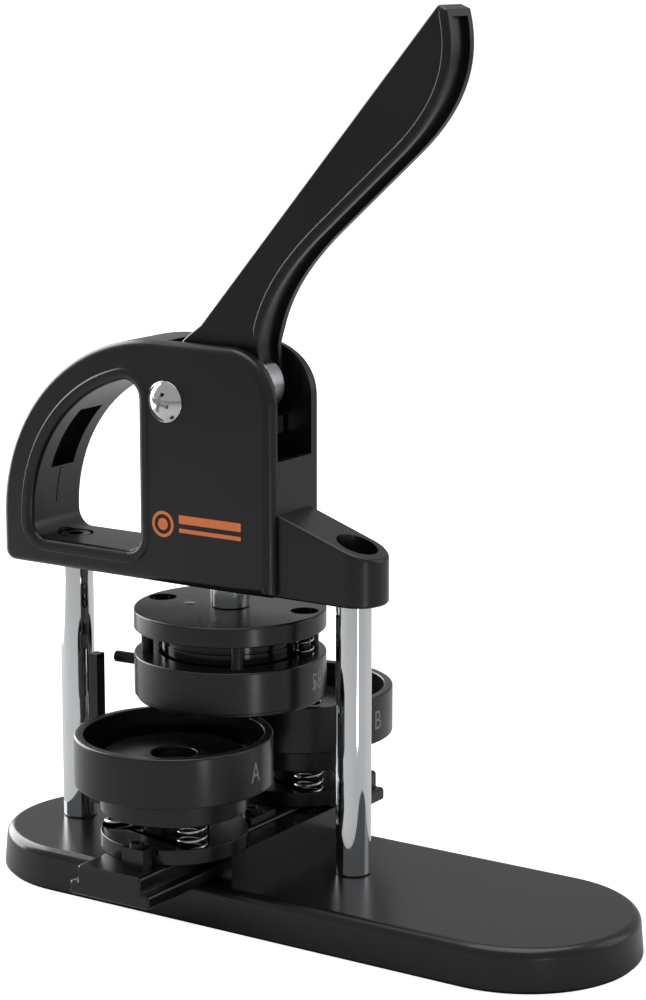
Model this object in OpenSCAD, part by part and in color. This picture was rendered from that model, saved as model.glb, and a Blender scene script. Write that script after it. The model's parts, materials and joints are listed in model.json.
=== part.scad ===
// Hand-lever button badge maker: two-column press with a sliding pair of dies.
// Millimetres, +Z up. The origin is on the table, straight below the ram's axis.
// X runs along the base, and Y is the way the die carriage slides.
// Everything is drawn with the lever up and the carriage between its two stations.

/* [Base] */
// From the ram axis to the left end of the base
base_left = 108; // [105:1:115]
// From the ram axis to the right end of the base
base_right = 186; // [170:1:200]
// Half the width of the base at the table
base_half_w = 47.6; // [46:0.1:52]
// Height of the base's top face
base_top = 17.5; // [17:0.5:20]
// Thickness of the rubber pad under the base
pad_t = 1.2; // [1:0.1:1.5]

/* [Columns and head] */
// X of the left column
column_left_x = -79.8; // [-81:0.1:-79]
// X of the right column
column_right_x = 60.2; // [60:0.1:62]
// Radius of a column
column_r = 7.2; // [6.8:0.1:7.3]
// Height of the head's underside
head_z = 130; // [130:0.5:132]
// Half the thickness of the head
head_half_t = 17; // [16.8:0.1:17.5]
// Half the width of the slot that the lever moves in
slot_half_w = 12; // [11.6:0.1:12.2]

/* [Lever] */
// X of the lever's pivot
pivot_x = -19.4; // [-20:0.1:-19]
// Height of the lever's pivot
pivot_z = 205.4; // [205:0.1:206]
// Width of the lever
lever_w = 17; // [16:0.5:18]
// Radius of the roller that presses the ram
roller_r = 11.5; // [11:0.1:11.5]

/* [Ram and upper die] */
// Radius of the ram
ram_r = 8; // [7.5:0.1:8]
// Radius of the upper die plate and ring
upper_r = 39.5; // [39:0.1:40]
// Top of the upper die plate
plate_top = 120.5; // [120:0.1:121]
// Thickness of the upper die plate
plate_t = 8.2; // [8:0.1:8.4]
// Top of the upper die ring
upper_ring_top = 102; // [101.8:0.1:102]
// Underside of the upper die ring
upper_ring_z = 83; // [82.8:0.1:83]

/* [Lower dies] */
// Radius of a lower die ring
die_r = 40; // [39.5:0.1:40]
// Radius of the recess in a lower die ring
recess_r = 36.2; // [35:0.1:36.5]
// Top of a lower die ring
die_top = 76.5; // [76.2:0.1:76.5]
// Distance from the ram axis to the front die, carriage at rest
die_a_dist = 39.6; // [38:0.1:40]
// Distance from the ram axis to the rear die, carriage at rest
die_b_dist = 50.4; // [50:0.1:52]
// Radius of a badge button's face, which sets the pressing parts
badge_r = 29; // [28.8:0.1:29]

/* [Hidden] */
$fn = 72;
fit_gap = 0.05;          // radial gap of a running fit
inset = 0.05;            // gap between a screw and its hole
eps = 0.5;               // cutting tools run this far past a face

edge_round = 4;          // round along the base's top edge
base_end_left = base_half_w - base_left;
base_end_right = base_right - base_half_w;
shell_t = 4;             // wall of the base casting
pad_inset = 1.4;

rail_x = 19.8;           // inner face of a rail, beside the carriage flange
rail_w = 7.2;
rail_len = 76;
rail_screw_x = 23.4;
rail_top = 29;
lip_x = 15.9;            // inner edge of the lip that holds the carriage down
lip_z = 23.7;

slide_z = base_top + 0.2;
flange_half_w = 19.4;
flange_top = 23.3;
slide_half_w = 15.4;
slide_top = 30.2;
slide_front = -die_a_dist - 44;
slide_rear = die_b_dist + 38;
stop_r = 2.8;

grip_c = [-26, 150];     // centre of the grip's two arcs, X and Z
grip_r = 79.5;
opening_r = 64;
opening_x = -33.5;       // right edge of the hand opening
opening_z = 141.5;       // floor of the hand opening
opening_round = 8;
window_from = 134;       // recess in the grip's inner wall, as an angle round grip_c
window_turn = 28;
window_depth = 6;
window_front = -7;
window_back = 8;
head_right = 32;
end_wall_t = 3.5;         // wall that closes the slot's right end, below wall_top
head_top_r = 21.5;
foot_round = 5;
boss_x = 62.3;
boss_r = 12.2;
boss_low = 149;          // height of the boss at its far end
boss_high = 163.7;       // and where it meets the head
right_bore_x = 61.7;     // the counterbore over the right column screw
right_bore_r = 8.3;
left_bore_r = 7.6;
socket_top = 134.5;
left_seat = 137.2;       // where the left column screw's head sits
right_seat = 141;
bore_floor = 152;        // floor of the lever slot, above the ram bush
wall_top = 185;          // top of the wall that closes the slot's end
bush_r = 11;

hub_r = 10;
pin_r = 5;
wall_t = 3;
roller_x = 13;
roller_z = 213;
roller_w = 9;
lobe_r = 8.5;
roller_pin_r = 4;
spine_low = [-7.8, 236.5];
spine_turn = 49.4;
spine_dir = [cos(spine_turn), sin(spine_turn)];
spine_norm = [sin(spine_turn), -cos(spine_turn)];
spine_len = 169;
spine_t = 4.2;
rib_count = 10;
rib_pitch = 15;
rib_start = 10;
rib_t = 1.8;
rib_depth = 30;
rib_setback = 2.5;

pad_gap = 1.2;           // free play between the roller and the ram head
ram_head_top = roller_z - roller_r - pad_gap;
ram_head_t = 8;
bush_top = 154;
plate_z = plate_top - plate_t;
core_r = badge_r - 1;
core_z = 93.3;
upper_bore = badge_r + 0.2;
lip_t = 1.9;
pocket_r = 31;
pocket_top = 97.2;
shift_angle = 184.3;     // where the shift pin points, carriage at rest
shift_z = 92;
shift_tip = 56;
shift_pin_r = 2.4;
post_angles = [40, 130, 220, 310];
post_rad = 34;
post_r = 2.5;
hanger_angles = [16, 186];
hanger_rad = 32;
hanger_r = 2.5;
hanger_head_r = 5.8;
hanger_seat = 116.8;      // where a hanger screw's head rests in the upper plate
hanger_pocket = 115.3;    // roof of the spring pocket in the plate's underside

flange_r = 29.8;
flange_z = 36.5;
sleeve_r = 29.8;
sleeve_z = 45.5;
ring_z = 56.3;
disc_z = 58;             // underside of a die core's disc
disc_top = 67.9;
stem_r = 14;
die_spring_r = 6.2;
die_spring_rad = 22.8;
spring_turn_a = -36;      // where the first of three springs stands, front die
spring_turn_b = 134;      // and rear die, before it is turned round
spring_seat = 33.6;
spring_roof = 51.2;

trip_x = -56.6;          // inner face of the trip post, just past the shift pin's tip
trip_w = 4.4;
trip_d = 5.3;
trip_front = -16.5;
trip_top = 95;
trip_y = 2;
trip_t = 2.6;
clip_x = 6.4;
clip_w = 10.4;
clip_screw_y = 33.6;
clip_screw_r = 1.5;
clip_t = 6;
clip_h = 8.4;
hook_z = 34.4;           // floor of the notch that the clip's hook lies in
notch_y = 25.3;          // how far in from the rim the notch reaches
clip_back = 30.6;        // the clip's upright stands just clear of the flange

// ---- helpers -------------------------------------------------------------

// A tube standing on z
module tube(r_out, r_in, z, h) {
    translate([0, 0, z]) difference() {
        cylinder(r = r_out, h = h);
        translate([0, 0, -eps]) cylinder(r = r_in, h = h + 2 * eps);
    }
}

// A rod standing on z
module rod(r, z, h) {
    translate([0, 0, z]) cylinder(r = r, h = h);
}

// A plate whose outline is drawn in X and Z, centred on Y = 0
module side_plate(t) {
    rotate([90, 0, 0]) translate([0, 0, -t / 2]) linear_extrude(t) children();
}

// A rod along Y, centred on y, at a place given in X and Z
module cross_rod(x, z, r, y0, y1) {
    translate([x, y1, z]) rotate([90, 0, 0]) cylinder(r = r, h = y1 - y0);
}

// Copies of a child around the Z axis
module around(angles, rad) {
    for (a = angles) rotate(a) translate([rad, 0, 0]) children();
}

// A quarter disc at (x, z), turned by a
module quarter(x, z, r, a) {
    translate([x, z]) rotate(a) intersection() {
        circle(r = r);
        square(r + 1);
    }
}

// A flat 2D bar of width w from p to q
module bar(p, q, w) {
    d = q - p;
    translate(p) rotate(atan2(d[1], d[0])) translate([-w / 2, -w / 2]) square([norm(d) + w, w]);
}

// Cap screw with a hexagon socket, head up, its seat at z
module cap_screw(r, head_r, head_h, z, depth) {
    difference() {
        union() {
            rod(r, z - depth, depth);
            rod(head_r, z, head_h);
        }
        translate([0, 0, z + head_h * 0.4]) cylinder(r = head_r * 0.55, h = head_h, $fn = 6);
    }
}

// Coil spring drawn as stacked rounds on a thin sleeve
module spring(r, wire_r, z0, z1, turns) {
    pitch = (z1 - z0 - 2 * wire_r) / turns;
    union() {
        tube(r - wire_r + 0.3, r - wire_r - 0.3, z0 + wire_r, z1 - z0 - 2 * wire_r);
        for (i = [0 : turns]) {
            translate([0, 0, z0 + wire_r + i * pitch])
                rotate_extrude() translate([r - wire_r, 0]) circle(r = wire_r, $fn = 16);
        }
    }
}

// Points of a cubic curve through its two ends
function curve(a, b, c, d, n) =
    [for (i = [0 : n]) let (t = i / n, s = 1 - t)
        a * s * s * s + b * 3 * s * s * t + c * 3 * s * t * t + d * t * t * t];

// ---- base ----------------------------------------------------------------

// Half section of the base's edge: drafted wall and rounded top
function edge_profile(inward, z0, z1, round) = concat(
    [[0, z0], [base_half_w - inward, z0]],
    [for (a = [0 : 15 : 90])
        [base_half_w - inward - 1 - round + round * cos(a), z1 - round + round * sin(a)]],
    [[0, z1]]);

// The base's long rounded outline, swept from an edge profile
module base_form(inward, z0, z1, round) {
    half = edge_profile(inward, z0, z1, round);
    for (x = [base_end_left, base_end_right])
        translate([x, 0, 0]) rotate_extrude() polygon(half);
    translate([base_end_left, 0, 0]) rotate([90, 0, 90])
        linear_extrude(base_end_right - base_end_left) for (side = [0, 1]) mirror([side, 0]) polygon(half);
}

module base_posts() {
    for (x = [column_left_x, column_right_x]) translate([x, 0, 0]) children();
}

plate_screw_xy = [for (x = [-72, 39, 150], s = [-1, 1]) [x, s * 30]];
rail_screw_y = [-28, 0, 28];
rib_x = [-40, 0, 90, 120];

module base_body() {
    color("#1b1b1d") difference() {
        union() {
            difference() {
                base_form(0, pad_t, base_top, edge_round);
                translate([0, 0, -eps]) base_form(shell_t, pad_t - eps, base_top - shell_t + eps, 2);
            }
            base_posts() rod(11, pad_t + 2.2, base_top - shell_t);
            for (p = plate_screw_xy) translate(p) rod(4.5, pad_t + 2.2, base_top - 6);
            for (x = rib_x) translate([x - 1.5, -40, 5]) cube([3, 80, base_top - 7]);
            translate([-95, -1.5, 5]) cube([268, 3, base_top - 7]);
            for (s = [-1, 1]) translate([s * rail_screw_x - 4, -34, 5]) cube([8, 68, base_top - 7]);
        }
        base_posts() rod(4 + inset, 0, 30);
        base_posts() rod(7, 0, 10.5);
        for (p = plate_screw_xy) translate(p) rod(1.6, 0, 10);
        for (s = [-1, 1], y = rail_screw_y) translate([s * rail_screw_x, y, 0]) rod(1.5 + inset, 8, 12);
        rod(stop_r, 12, 10);
    }
}

module base_plate() {
    color("#6b6e70") difference() {
        base_form(shell_t + 0.6, pad_t + 0.1, pad_t + 1.9, 0.2);
        for (p = plate_screw_xy) translate(p) rod(1.6 + inset, -1, 10);
        for (p = plate_screw_xy) translate(p) rod(3.1, -1, 1.8 + pad_t);
    }
}

module base_pad() {
    color("#202020") translate([base_end_left, 0, 0]) union() {
        for (x = [0, base_end_right - base_end_left])
            translate([x, 0, 0]) cylinder(r = base_half_w - pad_inset, h = pad_t);
        translate([0, pad_inset - base_half_w, 0])
            cube([base_end_right - base_end_left, 2 * (base_half_w - pad_inset), pad_t]);
    }
}

module base_plate_screws() {
    color("#9a9da0") for (p = plate_screw_xy) translate(p) union() {
        rod(3, pad_t + 0.1, 0.7);
        rod(1.5, pad_t + 0.7, 7);
    }
}

// A guide rail with a lip over the carriage flange, drawn on the +X side
module rail(side) {
    mirror([side < 0 ? 1 : 0, 0, 0]) difference() {
        translate([0, rail_len / 2, 0]) rotate([90, 0, 0]) linear_extrude(rail_len) polygon([
            [rail_x, base_top], [rail_x + rail_w, base_top], [rail_x + rail_w, rail_top],
            [lip_x, rail_top], [lip_x, lip_z], [rail_x, lip_z]]);
        for (y = rail_screw_y) translate([rail_screw_x, y, 0]) {
            rod(1.5 + inset, 10, 30);
            rod(3.2, rail_top - 3, 10);
        }
    }
}

module rail_left() {
    color("#242527") rail(-1);
}

module rail_right() {
    color("#242527") rail(1);
}

module rail_screws() {
    color("#2b2b2b") for (s = [-1, 1], y = rail_screw_y)
        translate([s * rail_screw_x, y, 0]) cap_screw(1.5, 2.9, 2.6, rail_top - 3, 17);
}

module stop_pin() {
    color("#8d8f92") rod(stop_r, 12, 9.2);
}

// ---- columns -------------------------------------------------------------

// A column is drilled and tapped at both ends
module column(x) {
    translate([x, 0, 0]) difference() {
        rod(column_r, base_top, socket_top - base_top);
        rod(4 + inset, base_top - eps, 14);
        rod(4 + inset, socket_top - 14, 20);
    }
}

module column_left() {
    color("#e8eaec") column(column_left_x);
}

module column_right() {
    color("#e8eaec") column(column_right_x);
}

module column_base_screws() {
    color("#3a3b3d") base_posts() mirror([0, 0, 1]) cap_screw(4, 6.5, 7, -10.5, 19);
}

module column_head_screws() {
    color("#3a3b3d") {
        translate([column_left_x, 0, 0]) cap_screw(4, 6.3, 4.1, left_seat, 15);
        translate([column_right_x, 0, 0]) cap_screw(4, 6.3, 7, right_seat, 18);
    }
}

// ---- head ----------------------------------------------------------------

// Outline of the head seen from the front, in X and Z
module head_outline() {
    left = grip_c[0] - grip_r;
    top = grip_c[1] + grip_r;
    intersection() {
        translate(grip_c) circle(r = grip_r, $fn = 180);
        translate([left - 5, grip_c[1]]) square([grip_r + 5, grip_r + 5]);
    }
    polygon([
        [left, grip_c[1]], [left, head_z + foot_round], [left + foot_round, head_z + foot_round],
        [left + foot_round, head_z], [head_right, head_z], [head_right, top - head_top_r],
        [head_right - head_top_r, top - head_top_r], [head_right - head_top_r, top], [grip_c[0], top],
        [grip_c[0], grip_c[1]]]);
    quarter(left + foot_round, head_z + foot_round, foot_round, 180);
    quarter(head_right - head_top_r, top - head_top_r, head_top_r, 0);
}

module hand_opening() {
    offset(r = opening_round) offset(r = -opening_round) intersection() {
        translate(grip_c) circle(r = opening_r, $fn = 96);
        translate([opening_x - 100, opening_z]) square([100, 100]);
    }
}

// The slot between the cheeks, in X and Z, open at the top and at the right
module lever_slot() {
    polygon([
        [-31, bore_floor], [head_right - end_wall_t, bore_floor], [head_right - end_wall_t, wall_top],
        [head_right + 10, wall_top],
        [head_right + 10, 240], [-15.6, 240], [-19.5, 233], [-31, 212]]);
}

module boss() {
    root = head_right - 8;
    far = boss_x + boss_r;
    slope = (boss_high - boss_low) / (far - head_right);
    intersection() {
        union() {
            translate([boss_x, 0, head_z]) cylinder(r = boss_r, h = 60);
            translate([root, -boss_r, head_z]) cube([boss_x - root, 2 * boss_r, 60]);
        }
        side_plate(60) polygon([
            [root - 1, head_z - 1], [far + 1, head_z - 1], [far + 1, boss_low - slope], [far, boss_low],
            [head_right, boss_high], [root - 1, boss_high]]);
    }
}

module grip_window() {
    translate([grip_c[0], window_back, grip_c[1]]) rotate([90, 0, 0]) rotate(window_from)
        rotate_extrude(angle = window_turn) translate([opening_r - 1, 0])
            square([window_depth + 1, window_back - window_front]);
}

module head_body() {
    color("#1f2022") difference() {
        union() {
            side_plate(2 * head_half_t) head_outline();
            boss();
        }
        side_plate(100) hand_opening();
        grip_window();
        side_plate(2 * slot_half_w) lever_slot();
        rod(bush_r, head_z - eps, 40);
        cross_rod(pivot_x, pivot_z, pin_r + inset, -30, 30);
        translate([column_left_x, 0, 0]) {
            rod(column_r + inset, head_z - eps, socket_top - head_z + eps);
            rod(4 + inset, head_z, 20);
            rod(left_bore_r, left_seat, 12);
        }
        translate([column_right_x, 0, 0]) {
            rod(column_r + inset, head_z - eps, socket_top - head_z + eps);
            rod(4 + inset, head_z, 30);
        }
        translate([right_bore_x, 0, 0]) rod(right_bore_r, right_seat, 40);
    }
}

module ram_bush() {
    color("#b08d4f") difference() {
        union() {
            tube(bush_r - inset, ram_r + fit_gap, head_z, bush_top - head_z - 2);
            tube(slot_half_w - 0.4, ram_r + fit_gap, bore_floor, bush_top - bore_floor);
        }
        rod(ram_r + fit_gap, head_z - eps, 40);
    }
}

// ---- pivot ---------------------------------------------------------------

// Truss-head machine screw: a shallow dome with a cross recess
module pivot_screw() {
    dome_r = 11;
    head_r = 8.6;
    head_h = dome_r - sqrt(dome_r * dome_r - head_r * head_r);
    color("#dfe2e5") translate([pivot_x, -head_half_t, pivot_z]) difference() {
        union() {
            intersection() {
                translate([0, dome_r - head_h, 0]) sphere(r = dome_r, $fn = 96);
                rotate([90, 0, 0]) cylinder(r = head_r, h = head_h + 1);
            }
            rotate([-90, 0, 0]) cylinder(r = pin_r, h = 2 * head_half_t + 7);
        }
        for (a = [20, 110]) rotate([0, a, 0]) translate([-4.6, -head_h - 1, -0.8]) cube([9.2, 3.4, 1.6]);
    }
}

module pivot_nut() {
    color("#c9ccd0") translate([pivot_x, head_half_t, pivot_z]) rotate([-90, 0, 0]) difference() {
        cylinder(r = 9, h = 6.5, $fn = 6);
        translate([0, 0, -eps]) cylinder(r = pin_r + inset, h = 20);
    }
}

module pivot_washers() {
    t = slot_half_w - lever_w / 2 - 0.4;
    color("#b9bcc0") for (s = [-1, 1]) translate([pivot_x, s * (slot_half_w - 0.1 - t / 2), pivot_z])
        rotate([90, 0, 0]) translate([0, 0, -t / 2]) tube(8, pin_r + inset, 0, t);
}

// ---- lever ---------------------------------------------------------------

spine_high = spine_low + spine_dir * spine_len;
tip_right = [106, 362.5];
arm_points = concat(
    curve(tip_right, [110.5, 346], [108, 328], [85.9, 308], 14),
    curve([48, 274.2], [34, 261], [23.5, 248], [20.4, 228.7], 12),
    [[roller_x + lobe_r, roller_z], [pivot_x, pivot_z]],
    [[-28.1, 210.4], [-18.4, 227.4]],
    curve([-17.5, 229.6], [-13.5, 231.2], [-11, 232.8], spine_low, 6),
    [spine_high]);

module arm_outline() {
    polygon(arm_points);
    translate([roller_x, roller_z]) circle(r = lobe_r);
    translate([pivot_x, pivot_z]) circle(r = hub_r);
    bar([pivot_x, pivot_z], [roller_x, roller_z], 12);
}

// What the channel between the lever's two walls takes out
module channel_outline() {
    low = spine_low + spine_norm * spine_t;
    high = low + spine_dir * (spine_len - 3);
    polygon([low, high, high + [30, 0], [140, 200], [roller_x, 190], [0, 200], [0, roller_z]]);
    translate([roller_x, roller_z]) circle(r = roller_r + 1.5);
}

// Upright ribs that zigzag between the lever's walls, set back a little from their edges
module lever_ribs() {
    reach = lever_w / 2 - wall_t;
    intersection() {
        side_plate(2 * reach + 0.2) intersection() {
            arm_outline();
            translate(-spine_norm * rib_setback) arm_outline();
        }
        translate([spine_low[0], 0, spine_low[1]]) rotate([0, -spine_turn, 0])
            translate([0, 0, -spine_t - rib_depth]) linear_extrude(rib_depth + 1)
                for (i = [0 : rib_count - 1]) translate([rib_start + i * rib_pitch, 0]) {
                    bar([0, -reach], [rib_pitch / 2, reach], rib_t);
                    bar([rib_pitch / 2, reach], [rib_pitch, -reach], rib_t);
                }
    }
}

module lever_arm() {
    color("#222325") difference() {
        union() {
            difference() {
                side_plate(lever_w) arm_outline();
                side_plate(lever_w - 2 * wall_t) channel_outline();
            }
            lever_ribs();
        }
        cross_rod(pivot_x, pivot_z, 7, -20, 20);
        cross_rod(roller_x, roller_z, roller_pin_r + inset, -20, 20);
    }
}

module lever_bush() {
    color("#b08d4f") difference() {
        cross_rod(pivot_x, pivot_z, 7 - inset, -lever_w / 2, lever_w / 2);
        cross_rod(pivot_x, pivot_z, pin_r + fit_gap, -20, 20);
    }
}

module roller_pin() {
    color("#a9adb1") cross_rod(roller_x, roller_z, roller_pin_r, -lever_w / 2 - 2, lever_w / 2 + 2);
}

module roller_clips() {
    color("#54575a") for (s = [-1, 1]) translate([roller_x, s * (lever_w / 2 + 0.75), roller_z])
        rotate([90, 0, 0]) tube(5.6, roller_pin_r + 0.02, -0.5, 1);
}

module roller() {
    color("#c8ccd0") difference() {
        cross_rod(roller_x, roller_z, roller_r, -roller_w / 2, roller_w / 2);
        cross_rod(roller_x, roller_z, roller_pin_r + fit_gap, -20, 20);
        for (s = [-1, 1]) translate([roller_x, s * (roller_w / 2 + 0.1), roller_z])
            rotate([90, 0, 0]) tube(9.2, 6.2, -0.7, 1.4);
    }
}

// ---- ram and upper die ---------------------------------------------------

module ram_rod() {
    color("#cdd1d5") difference() {
        rod(ram_r, plate_top, ram_head_top - ram_head_t - plate_top);
        rod(4 + inset, plate_top - eps, 20);
    }
}

module ram_head() {
    color("#8f9397") translate([-ram_r, -10.5, ram_head_top - ram_head_t])
        cube([28, 21, ram_head_t]);
}

module ram_spring() {
    color("#b6babd") spring(10.8, 0.9, bush_top, ram_head_top - ram_head_t, 5);
}

module upper_plate() {
    color("#2a2b2d") difference() {
        rod(upper_r, plate_z, plate_t);
        rod(4 + inset, plate_z - eps, 20);
        around(hanger_angles, hanger_rad) rod(hanger_r + 0.2, plate_z - eps, 20);
        around(hanger_angles, hanger_rad) rod(hanger_head_r, hanger_seat, 20);
        around(hanger_angles, hanger_rad) rod(4.3, plate_z - eps, hanger_pocket - plate_z + eps);
        around([200], 17) rod(2.4, plate_top - 5, 10);
        around(post_angles, post_rad) rod(post_r, plate_z - eps, 4 + eps);
    }
}

module upper_posts() {
    color("#4a4c4f") around(post_angles, post_rad) rod(post_r, upper_ring_top - 3, plate_z - upper_ring_top + 7);
}

module upper_core() {
    color("#3d3f42") difference() {
        rod(core_r, core_z, plate_z - core_z);
        tube(core_r + 1, core_r - 0.6, 106.5, 0.8);
        rod(4 + inset, core_z - eps, 40);
        rod(7, core_z - eps, 8.5 + eps);
    }
}

module upper_core_screw() {
    color("#54575a") mirror([0, 0, 1]) cap_screw(4, 6.5, 7.6, -core_z - 8.5, 34);
}

module plate_dowel() {
    color("#d5d8da") around([200], 17) rod(2.4 - inset, plate_top - 5, 5.2);
}

module upper_ring() {
    color("#2c2d2f") difference() {
        rod(upper_r, upper_ring_z + lip_t, upper_ring_top - upper_ring_z - lip_t);
        rod(upper_bore, upper_ring_z, 40);
        rod(pocket_r, upper_ring_z, pocket_top - upper_ring_z);
        rotate(168.7) rotate_extrude(angle = 34.2)
            translate([upper_bore - 1, shift_z - shift_pin_r - 0.4]) square([20, 2 * shift_pin_r + 0.8]);
        around(post_angles, post_rad) rod(post_r + 0.1, upper_ring_top - 13.6, 20);
        around(hanger_angles, hanger_rad) rod(hanger_r - inset, upper_ring_top - 4.2, 20);
    }
}

module upper_ring_lip() {
    color("#343537") tube(upper_r - 1, upper_bore, upper_ring_z, lip_t);
}

module hanger_screws() {
    color("#232426") around(hanger_angles, hanger_rad) union() {
        cap_screw(hanger_r - 2 * inset, 4.6, 1.6, hanger_seat, hanger_seat - upper_ring_top + 4);
    }
}

module hanger_springs() {
    color("#c3c7ca") around(hanger_angles, hanger_rad)
        spring(3.9, 0.4, upper_ring_top, hanger_pocket, 3);
}

module shift_ring() {
    color("#5a5d60") tube(pocket_r - 0.1, upper_bore + fit_gap, upper_ring_z + lip_t + 0.2, 11.6);
}

module shift_pin() {
    color("#17181a") difference() {
        rotate(shift_angle) translate([0, 0, shift_z]) rotate([0, 90, 0]) cylinder(r = shift_pin_r, h = shift_tip);
        rod(pocket_r - 0.1, shift_z - 10, 20);
    }
}

// ---- carriage ------------------------------------------------------------

module carriage_slide() {
    color("#1d1e20") difference() {
        translate([0, slide_rear, 0]) rotate([90, 0, 0]) linear_extrude(slide_rear - slide_front)
            polygon([
                [-flange_half_w, slide_z], [flange_half_w, slide_z], [flange_half_w, flange_top],
                [slide_half_w, flange_top], [slide_half_w, slide_top], [-slide_half_w, slide_top],
                [-slide_half_w, flange_top], [-flange_half_w, flange_top]]);
        translate([-stop_r - 0.4, -die_a_dist - stop_r - 0.4, slide_z - eps])
            cube([2 * stop_r + 0.8, die_a_dist + die_b_dist + 2 * stop_r + 0.8, 4.3 + eps]);
        for (y = [-die_a_dist, die_b_dist]) translate([0, y, 0]) rod(4 + inset, 23.5, 20);
        for (front = [true, false])
            station(front) translate([clip_x, -clip_screw_y, 0]) rod(clip_screw_r + inset, 24.5, 20);
        for (x = [-9, 9]) translate([x, trip_y, 0]) rod(2 + inset, 24.5, 20);
    }
}

module trip_bracket() {
    color("#151516") difference() {
        union() {
            translate([0, 0, slide_top]) linear_extrude(trip_t) polygon([
                [14, -6], [14, 12], [-30, 12], [trip_x - trip_w, trip_front + 16],
                [trip_x - trip_w, trip_front], [-46, trip_front], [-34, -6]]);
            translate([trip_x - trip_w, trip_front, slide_top]) cube([trip_w, trip_d, trip_top - slide_top]);
        }
        for (x = [-9, 9]) translate([x, trip_y, 0]) rod(2 + inset, 24.5, 20);
    }
}

module trip_screws() {
    color("#3a3b3d") for (x = [-9, 9]) translate([x, trip_y, 0])
        cap_screw(2, 3.6, 2.4, slide_top + trip_t, 7.5);
}

// ---- lower dies ----------------------------------------------------------
// Each is drawn on the Z axis and moved to its station, front (A) or turned round at the rear (B)

module station(front) {
    if (front) translate([0, -die_a_dist, 0]) children();
    else translate([0, die_b_dist, 0]) rotate(180) children();
}

// Three springs, evenly spaced from the first one's angle
module spring_places(first) {
    around([first, first + 120, first + 240], die_spring_rad) children();
}

module die_flange(first) {
    difference() {
        rod(flange_r, slide_top, flange_z - slide_top);
        rod(4 + inset, slide_top - eps, 20);
        translate([clip_x - clip_w / 2 - 0.2, -notch_y - 8, hook_z]) cube([clip_w + 0.4, 8, 10]);
        spring_places(first) rod(die_spring_r + 0.4, spring_seat, 20);
    }
}

module die_core() {
    difference() {
        union() {
            rod(stem_r, flange_z, disc_z - flange_z + 1);
            rod(badge_r, disc_z, disc_top - disc_z);
        }
        rod(4 + inset, flange_z - eps, 60);
        rod(9, disc_top - 5, 20);
        rod(6.8, disc_top - 12, 20);
    }
}

// The sprung ring: rim and recess above, spring sleeve below
module die_ring(first) {
    difference() {
        union() {
            rod(die_r, ring_z, die_top - ring_z);
            rod(sleeve_r, sleeve_z, ring_z - sleeve_z + 1);
        }
        rod(recess_r, disc_z + 5, 60);
        rod(badge_r + 0.3, disc_z - 0.1, 60);
        rod(stem_r + 0.3, sleeve_z - eps, 60);
        spring_places(first) rod(die_spring_r + 0.4, sleeve_z - eps, spring_roof - sleeve_z + eps);
    }
}

module die_springs(first) {
    spring_places(first) spring(die_spring_r, 0.7, spring_seat, spring_roof, 5);
}

// A hooked clip that holds the die down on the carriage: its hook lies in the flange's notch
module die_clip() {
    difference() {
        translate([clip_x - clip_w / 2, 0, 0]) union() {
            translate([0, -clip_back - clip_t, slide_top]) cube([clip_w, clip_t, clip_h]);
            translate([0, -clip_back - 1, hook_z + 0.1])
                cube([clip_w, clip_back + 1 - notch_y - 0.2, flange_z - hook_z - 0.2]);
        }
        translate([clip_x, -clip_screw_y, 0]) rod(clip_screw_r + inset, 20, 30);
    }
}

module die_clip_screw() {
    translate([clip_x, -clip_screw_y, 0]) cap_screw(clip_screw_r, 2.8, 1.8, slide_top + clip_h, clip_h + 5.2);
}

module die_a_flange() { color("#26272a") station(true) die_flange(spring_turn_a); }
module die_a_core() { color("#303236") station(true) die_core(); }
module die_a_screw() { color("#77797c") station(true) cap_screw(4, 6.5, 6, disc_top - 12, 32); }
module die_a_clip() { color("#17181a") station(true) die_clip(); }
module die_a_clip_screw() { color("#2b2b2b") station(true) die_clip_screw(); }
module die_a_springs() { color("#c3c7ca") station(true) die_springs(spring_turn_a); }
module die_a_ring() { color("#2c2d30") station(true) die_ring(spring_turn_a); }
module die_b_flange() { color("#26272a") station(false) die_flange(spring_turn_b); }
module die_b_core() { color("#303236") station(false) die_core(); }
module die_b_screw() { color("#77797c") station(false) cap_screw(4, 6.5, 6, disc_top - 12, 32); }
module die_b_clip() { color("#17181a") station(false) die_clip(); }
module die_b_clip_screw() { color("#2b2b2b") station(false) die_clip_screw(); }
module die_b_springs() { color("#c3c7ca") station(false) die_springs(spring_turn_b); }
module die_b_ring() { color("#2c2d30") station(false) die_ring(spring_turn_b); }

// ---- assembly ------------------------------------------------------------

base_body();
base_plate();
base_pad();
base_plate_screws();
rail_left();
rail_right();
rail_screws();
stop_pin();
column_left();
column_right();
column_base_screws();
column_head_screws();
head_body();
ram_bush();
pivot_screw();
pivot_nut();
pivot_washers();
lever_arm();
lever_bush();
roller_pin();
roller_clips();
roller();
ram_rod();
ram_head();
ram_spring();
upper_plate();
upper_posts();
upper_core();
upper_core_screw();
plate_dowel();
upper_ring();
upper_ring_lip();
hanger_screws();
hanger_springs();
shift_ring();
shift_pin();
carriage_slide();
trip_bracket();
trip_screws();
die_a_flange();
die_a_core();
die_a_screw();
die_a_clip();
die_a_clip_screw();
die_a_springs();
die_a_ring();
die_b_flange();
die_b_core();
die_b_screw();
die_b_clip();
die_b_clip_screw();
die_b_springs();
die_b_ring();
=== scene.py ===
import json
import math

import bmesh
import bpy
from mathutils import Matrix, Vector

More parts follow.
